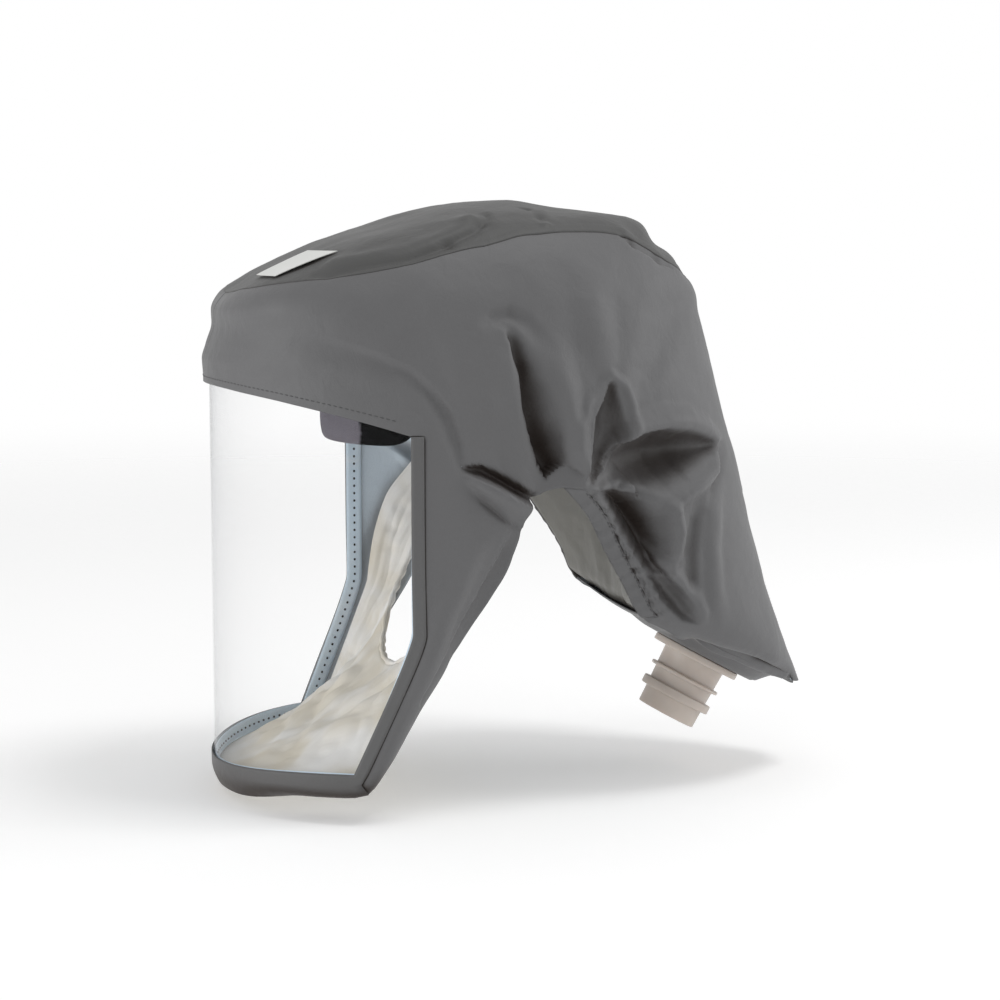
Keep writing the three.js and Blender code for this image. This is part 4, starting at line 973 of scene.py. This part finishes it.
# Face seal, crumpled, with a gathered elastic edge
seal_t = steps(0, 1, 110)
seal_share = seal_t * SEAL_TOP_SHARE
seal_turn = (math.pi / 2) * seal_t**0.9
seal_margin = curve([(m,) for m in SEAL_MARGINS], SEAL_SHARES)(seal_share)[:, 0]
seal_start = frame_point(seal_share, seal_margin, SEAL_INSET + 7 * ease(0.15, 0.4, seal_share))
toward = np.cos(seal_turn)
seal_end = stack((SEAL_HALF - 3) * np.sin(seal_turn), -lerp(SEAL_SIDE_FORWARD + 5, SEAL_CHIN_FORWARD, toward),
                 -lerp(SEAL_SIDE_DROP, SEAL_CHIN_DROP, toward))
seal_mid = lerp(seal_start, seal_end, 0.5) - stack(0, 0, 2 * SEAL_SAG * toward)
seal_s = steps(0, 1, 36)[:, None, None]
seal_rows = lerp(lerp(seal_start, seal_mid, seal_s), lerp(seal_mid, seal_end, seal_s), seal_s)
seal_rows = both_halves(seal_rows)
seal_out = row_normals(seal_rows)
flat_seal = seal_rows.reshape(-1, 3)
seal_across, seal_along = np.meshgrid(np.linspace(-1, 1, seal_rows.shape[1]) * 150, seal_s[:, 0, 0] * 100)
slant = stack(seal_across * 0.45 + seal_along * 0.3, seal_along - np.abs(seal_across) * 0.35, 0)
slant = slant.reshape(-1, 3)
crumple = 8 * creased(slant, 34, 4) + 4 * creased(flat_seal, 17, 5) + 1.2 * creased(slant, 9, 6)
seal_column = np.arange(seal_rows.shape[1])
ripple = np.sin(seal_column * 0.55 + 2 * np.sin(seal_column * 0.13))
crumple = crumple.reshape(seal_rows.shape[:2]) + 0.6 * ripple[None] * ease(0.7, 1, seal_s[..., 0])
free = ease(0.02, 0.36, seal_s[..., 0]) * (1 - 0.75 * ease(0.7, 1, seal_s[..., 0]))
free = free * (1 - 0.7 * ease(0.75, 1, np.abs(np.linspace(-1, 1, seal_rows.shape[1]))))
seal_rows = seal_rows + seal_out * (crumple * free)[..., None]
seal_piece, seal_area = sheet_piece("seal_cloth", seal_rows, cream_cloth, 0.6)
settle(seal_piece, "cream_cloth", "face_seal")


def swept(name, rings, material):
    """Closed tube through rings of points, with flat ends."""
    rings = np.asarray(rings, float)
    r, c = rings.shape[:2]
    index = np.arange(r * c).reshape(r, c)
    nxt = np.roll(index, -1, axis=1)
    faces = np.stack([index[:-1], nxt[:-1], nxt[1:], index[1:]], -1).reshape(-1, 4).tolist()
    faces += [index[0][::-1].tolist(), index[-1].tolist()]
    return make_mesh(name, rings.reshape(-1, 3), faces, [material])


def rod(name, path, radius, material, sides=8):
    """Round rod along points, with a radius for each point."""
    along = unit(np.gradient(path, axis=0))
    side = unit(np.cross(along, (0.3, 0.2, 0.93)))
    up = np.cross(side, along)
    turn = np.linspace(0, 2 * math.pi, sides, endpoint=False)
    rings = path[:, None] + radius[:, None, None] * (
        np.cos(turn)[None, :, None] * side[:, None] + np.sin(turn)[None, :, None] * up[:, None])
    return swept(name, rings, material)


elastic = rod("seal_elastic", seal_rows[-1], 1.7 + 0.35 * ripple, cream_cloth)
settle(elastic, "cream_cloth")

# Neck panel and tail floor, from places in the grids of the skin
body_start = crown.size // 3
frame_start = body_start + body.size // 3
tail_start = frame_start + cheek.size // 3


def inside(grid_start, columns, row, column, depth):
    """Points inside the outer cloth at a place of a grid, on the wearer's left and right."""
    half = skin.of_grid.size // 2
    both = [grid_start + row * columns + column, half + grid_start + row * columns + columns - 1 - column]
    i = skin.of_grid[both]
    return skin.points[i] - skin_normals[i] * depth


def cross_row(sides, middle, flare=0.0, count=60):
    """Row from side to side, its ends drawn in behind the folds as flare nears 1."""
    t = np.linspace(-1, 1, count + 1)
    side = np.where(t[:, None] > 0, sides[0], sides[1])
    bend = lerp(t * t, t * t * (3 - 2 * np.abs(t)), flare)
    return stack(side[:, 0] * np.abs(t), lerp(middle[1], side[:, 1], bend), lerp(middle[2], side[:, 2], bend))


columns, tail_columns = len(angles), len(back_share)
neck_sides = [
    inside(body_start, columns, row, tail_column + CASING_COLUMNS, NECK_INSET)
    for row in (BODY_ROWS * 10 // 12, BODY_ROWS * 11 // 12)
]
hem_rows = range(0, CASING_ROWS, 5)
neck_sides += [inside(tail_start, tail_columns, row, 0, PANEL_INSET) for row in hem_rows]
neck_places = [0, 1, *(2 + row / TAIL_STEPS for row in hem_rows)]
seat = np.array([0, SPIGOT_BACK, -SPIGOT_DROP])
spigot_axis = np.array([0, -math.sin(SPIGOT_TILT), -math.cos(SPIGOT_TILT)])


def floor_row(side):
    row = cross_row(side, side.mean(0) + (0, 3, -4))
    level = seat[2] - (row[:, 1] - seat[1]) * spigot_axis[1] / spigot_axis[2]
    rim = FLANGE_RADIUS + 3
    row[:, 2] = lerp(level, row[:, 2], ease(rim, rim + 15, np.hypot(row[:, 0], row[:, 1] - seat[1])))
    return row


tip_row = len(tail) - 1
floor_rows = [
    floor_row(inside(tail_start, tail_columns, row, 0, PANEL_INSET))
    for row in range(CASING_ROWS, tip_row + 1, 2)
]
floor_rows += [
    floor_row(inside(tail_start, tail_columns, tip_row, column, PANEL_INSET + GAP))
    for column in range(6, 66, 5)
]
neck_rows = [
    cross_row(side, (0, lerp(NECK_TOP_BACK, NECK_FOOT_BACK, (at / 6) ** 0.6), side[0, 2] - 2), 1 - at / 6)
    for at, side in zip(neck_places, neck_sides)
]
neck_rows.append(lerp(floor_rows[2], floor_rows[3], 0.5) + (0, 0, CLOTH + 2 * GAP))
neck_curve = curve(np.array(neck_rows).reshape(len(neck_rows), -1), [*neck_places, 6])
neck_rows = neck_curve(np.linspace(0, 6, 84)).reshape(84, -1, 3)
neck_flat = neck_rows.reshape(-1, 3)
sag = (2.6 * creased(neck_flat, 30, 7) + 1.3 * creased(neck_flat, 12, 8)).reshape(neck_rows.shape[:2])
middle_share = 1 - np.abs(np.linspace(-1, 1, neck_rows.shape[1])) ** 6
neck_rows = neck_rows + row_normals(neck_rows) * (sag * middle_share[None])[..., None]
neck_piece, neck_area = sheet_piece("neck_cloth", neck_rows, neck_cloth, CLOTH_LOOK)
settle(neck_piece, "hood_cloth", "neck_panel")


def in_hole(centres):
    off = centres - seat
    across = off - (off @ spigot_axis)[:, None] * spigot_axis
    return np.linalg.norm(across, axis=1) < SPIGOT_ROOT + 0.8


floor_piece, floor_area = sheet_piece("tail_base", floor_rows, hood_cloth, CLOTH_LOOK, in_hole)
settle(floor_piece, "hood_cloth", "tail_floor")


# Hose spigot: a profile turned about its own axis
def turned(name, profile, material, sides=96):
    """Closed profile of (radius, way along the axis), turned about the spigot's axis."""
    profile = np.asarray(profile, float)
    turn = np.linspace(0, 2 * math.pi, sides, endpoint=False)
    x = np.array([1.0, 0, 0])
    y = np.cross(spigot_axis, x)
    ring = np.cos(turn)[:, None] * x + np.sin(turn)[:, None] * y
    points = seat + profile[:, None, 1:] * spigot_axis + profile[:, None, :1] * ring[None]
    index = np.arange(len(profile) * sides).reshape(len(profile), sides)
    nxt, below = np.roll(index, -1, axis=1), np.roll(index, -1, axis=0)
    nxt_below = np.roll(nxt, -1, axis=0)
    faces = np.stack([index, below, nxt_below, nxt], -1).reshape(-1, 4)
    return make_mesh(name, points.reshape(-1, 3), faces, [material])


def rounded(profile, radius):
    """Closed profile with each corner cut back twice, so that its edges catch the light."""
    profile = np.asarray(profile, float)
    result = []
    for before, corner, after in zip(np.roll(profile, 1, 0), profile, np.roll(profile, -1, 0)):
        a, b = before - corner, after - corner
        cut = min(radius, 0.4 * np.linalg.norm(a), 0.4 * np.linalg.norm(b))
        p, q = corner + unit(a) * cut, corner + unit(b) * cut
        result += [p, lerp(lerp(p, corner, 0.5), lerp(corner, q, 0.5), 0.5), q]
    return result


def stem(along):
    """Radius of the tapered stem."""
    foot = GAP + FLANGE_THICK
    return lerp(SPIGOT_ROOT, SPIGOT_TIP, (along - foot) / (SPIGOT_LENGTH - foot))


def ring_profile(at, thick, high):
    """Corners of a ring round the stem."""
    first, last = at - thick / 2, at + thick / 2
    return [(stem(first), first), (stem(at) + high, first), (stem(at) + high, last), (stem(last), last)]


spigot_foot = GAP + FLANGE_THICK
spigot_top, spigot_end = -CLOTH - SPIGOT_NECK, spigot_foot + SPIGOT_LENGTH
spigot_outline = [
    (SPIGOT_BORE, spigot_top), (SPIGOT_ROOT, spigot_top), (SPIGOT_ROOT, GAP), (FLANGE_RADIUS, GAP),
    (FLANGE_RADIUS, spigot_foot), (SPIGOT_ROOT, spigot_foot), *ring_profile(spigot_foot + RING_BACK, 2, 3),
    *ring_profile(spigot_foot + RING_FRONT, 5, 3.5), (SPIGOT_TIP, spigot_end), (SPIGOT_BORE, spigot_end),
]
spigot_piece = turned("spigot", rounded(spigot_outline, 0.6), milky)
settle(spigot_piece, "spigot_plastic", "hose_spigot")


# Label place on the crown
def label_point(x, drop):
    """Point just above the crown, from its side place and drop."""
    section = section_at(np.sqrt(drop / CROWN_DROP))
    angle = np.arcsin((x / (section[..., 3] * HALF_WIDTH)) ** (section[..., 4] / 2))
    here = body_point(angle, drop)
    downward, across = body_point(angle, drop + 1) - here, body_point(angle + 0.01, drop) - here
    return here + unit(np.cross(downward, across)) * 0.9


label_t = np.linspace(1, -1, 31)
label_x = LABEL_SIDE + LABEL_SKEW * label_t[:, None] + np.linspace(-LABEL_HALF, LABEL_HALF, 25)[None]
label_drop = lerp(LABEL_FRONT_DROP, LABEL_BACK_DROP, (label_t[:, None] + 1) / 2) + 0 * label_x
label_rows = label_point(label_x, label_drop)
label_piece, _ = sheet_piece("label_patch", label_rows, patch, 0.5)
settle(label_piece, "label", "crown_label")

# Brow pad and head band
HEAD_LENGTH, HEAD_MIDDLE = (HEAD_FRONT + HEAD_BACK) / 2, (HEAD_BACK - HEAD_FRONT) / 2


def head_point(angle, out, z):
    reach = HEAD_LENGTH + out
    return stack((HEAD_HALF + out) * np.sin(angle), HEAD_MIDDLE - reach * np.cos(angle), z)


def soft_section(inner, thick, height, count, puff):
    """Section of a pad or band, its sides puffed by a power: 2 is round and more is squarer."""
    turn = np.linspace(0, 2 * math.pi, count, endpoint=False)
    across = np.sign(np.cos(turn)) * np.abs(np.cos(turn)) ** (2 / puff)
    upward = np.sign(np.sin(turn)) * np.abs(np.sin(turn)) ** (2 / puff)
    return inner + thick / 2 * (1 + across), height / 2 * upward


pad_angles = steps(-PAD_ANGLE, PAD_ANGLE, 110)
pad_out, pad_up = soft_section(GAP, PAD_THICK, PAD_HEIGHT, 36, 3.2)
taper = 1 - 0.9 * (np.abs(pad_angles) / PAD_ANGLE) ** 14
pad_middle = GAP + PAD_THICK / 2
pad_rings = head_point(pad_angles[:, None], pad_middle + (pad_out - GAP - PAD_THICK / 2)[None] * taper[:, None],
                       pad_up[None] * taper[:, None] - PAD_DROP)
pad_piece = swept("forehead_pad", pad_rings, pile)
settle(pad_piece, "pad_foam", "brow_pad")

band_in = PAD_THICK / 2
band_start = PAD_ANGLE + 2 * GAP / HEAD_HALF
band_out, band_up = soft_section(band_in, BAND_THICK, BAND_HEIGHT, 20, 6)
band_angles = steps(band_start, 2 * math.pi - band_start, 160)
band_rings = head_point(band_angles[:, None], band_out[None], band_up[None] - PAD_DROP)
band_piece = swept("head_strap", band_rings, band_black)
settle(band_piece, "band_plastic", "head_band")
tab_turn = math.acos((HEAD_MIDDLE + TAB_FORWARD) / HEAD_LENGTH)
tab_inner = head_point(tab_turn, band_in + BAND_THICK / 2, 0)[0]
for sign, side in ((1, "left"), (-1, "right")):
    tab_x = np.linspace(tab_inner, TAB_END, 12)
    swing = np.linspace(0, 2 * math.pi, 20, endpoint=False)
    tab_y = -TAB_FORWARD + TAB_WIDTH / 2 * np.sign(np.cos(swing)) * np.abs(np.cos(swing)) ** 0.3
    tab_z = -PAD_DROP + TAB_HEIGHT / 2 * np.sign(np.sin(swing)) * np.abs(np.sin(swing)) ** 0.3
    tab_rings = stack(sign * tab_x[:, None], tab_y[None], tab_z[None])
    tab = swept(f"band_tab_{side}", tab_rings if sign > 0 else tab_rings[:, ::-1], band_black)
    settle(tab, "band_plastic")


# Stitches: short threads set end to end along a line on the cloth
def even_points(path, pitch):
    """Points spaced evenly along a path."""
    path = np.asarray(path, float)
    along = np.concatenate([[0], np.cumsum(np.linalg.norm(np.diff(path, axis=0), axis=1))])
    at = np.arange(pitch / 2, along[-1], pitch)
    return np.stack([np.interp(at, along, path[:, k]) for k in range(3)], -1)


def stitches(name, lines, pitch, length, radius, material):
    """One mesh of threads: each is a rod with tapered ends, half sunk in the cloth."""
    points, faces = [], []
    profile = [(-0.5, 0.25), (-0.3, 0.9), (0.3, 0.9), (0.5, 0.25)]
    for path, outward in lines:
        path, outward = np.asarray(path, float), np.asarray(outward, float)
        at = even_points(path, pitch)
        near = np.linalg.norm(at[:, None] - path[None], axis=2).argmin(1)
        along = unit(np.gradient(at, axis=0))
        up = unit(outward[near])
        side = np.cross(along, up)
        for p, a, u, s in zip(at, along, up, side):
            first = len(points)
            for offset, size in profile:
                for turn in range(5):
                    angle = 2 * math.pi * turn / 5
                    round_it = math.cos(angle) * s + math.sin(angle) * u
                    points.append(p + a * offset * length + radius * size * round_it)
            for ring in range(3):
                for turn in range(5):
                    i, j = first + ring * 5 + turn, first + ring * 5 + (turn + 1) % 5
                    faces.append((i, j, j + 5, i + 5))
            faces.append(tuple(first + k for k in range(4, -1, -1)))
            faces.append(tuple(first + 15 + k for k in range(5)))
    return make_mesh(name, points, faces, [material])


def grid_line(grid_start, columns, places, side):
    """Points and normals along cells of one grid of the skin."""
    offset = 0 if side == "left" else skin.of_grid.size // 2
    index = []
    for row, column in places:
        column = column if side == "left" else columns - 1 - column
        index.append(skin.of_grid[offset + grid_start + row * columns + column])
    return skin.points[index], skin_normals[index]


frame_columns = cheek.shape[1]
brim_lines, binding_lines, casing_lines = [], [], []
brim_places = [(BODY_ROWS - 7, column) for column in range(side_column - 1)]
binding_places = [(row, BINDING_COLUMNS - 1) for row in range(3, CHEEK_ROWS + CHIN_ROWS)]
casing_places = [(row, CASING_COLUMNS - 1) for row in range(2, CASING_ROWS)]
for side in ("left", "right"):
    brim_lines.append(grid_line(body_start, columns, brim_places, side))
    binding_lines.append(grid_line(frame_start, frame_columns, binding_places, side))
    casing_lines.append(grid_line(tail_start, tail_columns, casing_places, side))
named_lines = {
    "brim_stitches": brim_lines, "binding_stitches": binding_lines, "casing_stitches": casing_lines,
}
for name, lines in named_lines.items():
    settle(stitches(name, lines, STITCH_PITCH, STITCH_LENGTH, THREAD_RADIUS, grey_thread), "hood_cloth")

needle_line = both_halves(frame_point(tape_share[2:-2], HOLE_AWAY, TAPE_INSET + TAPE_LOOK)[None])[0]
inward = unit(needle_line * (-1, -1, 0) - (0, EAR_FORWARD, 0))
holes = stitches("needle_holes", [(needle_line, inward)], HOLE_PITCH, HOLE_LENGTH, HOLE_RADIUS, dark_holes)
settle(holes, "blue_tape")

# Pale floor and backdrop, under and behind the part
FLOOR = min(corner[2] for corner in CAD_BOX) - 0.004
bpy.ops.mesh.primitive_plane_add(size=6, location=(0, 0, FLOOR))
ground = bpy.context.object
ground.name = "ground"
pale = Paint("pale_floor", (0.9, 0.9, 0.9))
pale.set(Base_Color=pale.blend(pale.noise(3), (0.90, 0.90, 0.90), (0.92, 0.92, 0.92)))
pale.set(Roughness=0.9, Specular_IOR_Level=0.1)
from_middle = pale.node("ShaderNodeVectorMath", {"operation": "LENGTH"}, {0: pale.place}, "Value")
pale.set(Alpha=1 - from_middle.over(0.5, 2.6), Emission_Color=(1, 1, 1), Emission_Strength=0.2)
ground.data.materials.append(pale.material)

world = bpy.data.worlds.new("studio")
bpy.context.scene.world = world
world.use_nodes = True
sky = world.node_tree
glow = sky.nodes["Background"]
glow.inputs["Color"].default_value = (1.0, 1.0, 1.0, 1)
ray = sky.nodes.new("ShaderNodeLightPath")
level = sky.nodes.new("ShaderNodeMapRange")
level.inputs["To Min"].default_value, level.inputs["To Max"].default_value = 0.60, 1.0
sky.links.new(ray.outputs["Is Camera Ray"], level.inputs["Value"])
sky.links.new(level.outputs["Result"], glow.inputs["Strength"])


# Camera as in the photograph, and soft lights
VIEW_TURN, VIEW_RISE, VIEW_DISTANCE, VIEW_DROP = rad(77.1), rad(6.7), 1353, 168
right = Vector((math.cos(VIEW_TURN), math.sin(VIEW_TURN), 0))
level_back = Vector((math.sin(VIEW_TURN), -math.cos(VIEW_TURN), 0))
back = level_back * math.cos(VIEW_RISE) + Vector((0, 0, math.sin(VIEW_RISE)))
upward = back.cross(right)
camera = bpy.data.objects.new("camera", bpy.data.cameras.new("camera"))
bpy.context.scene.collection.objects.link(camera)
camera.data.lens, camera.data.sensor_width = 85.464, 36
camera.data.clip_end = 100
turn = Matrix((right, upward, back)).transposed().to_4x4()
camera.matrix_world = Matrix.Translation((Vector((0, 0, -VIEW_DROP)) + back * VIEW_DISTANCE) * MM) @ turn
bpy.context.scene.camera = camera


def soft_light(name, toward, distance, size, power):
    """Area light that looks at the hood from a direction given as right, up and back of the camera."""
    direction = (right * toward[0] + upward * toward[1] + back * toward[2]).normalized()
    light = bpy.data.lights.new(name, "AREA")
    light.size, light.energy = size, power
    lamp = bpy.data.objects.new(name, light)
    bpy.context.scene.collection.objects.link(lamp)
    lamp.location = Vector((0, 0, -0.16)) + direction * distance
    lamp.rotation_euler = direction.to_track_quat("Z", "Y").to_euler()


soft_light("key", (0.35, 0.95, 0.25), 2.0, 0.6, 11.5)
soft_light("back", (1.0, 0.35, -0.10), 2.0, 0.9, 8)
soft_light("front", (-0.98, 0.02, 0.42), 2.2, 0.6, 15)
bpy.context.scene.view_settings.view_transform = "Standard"
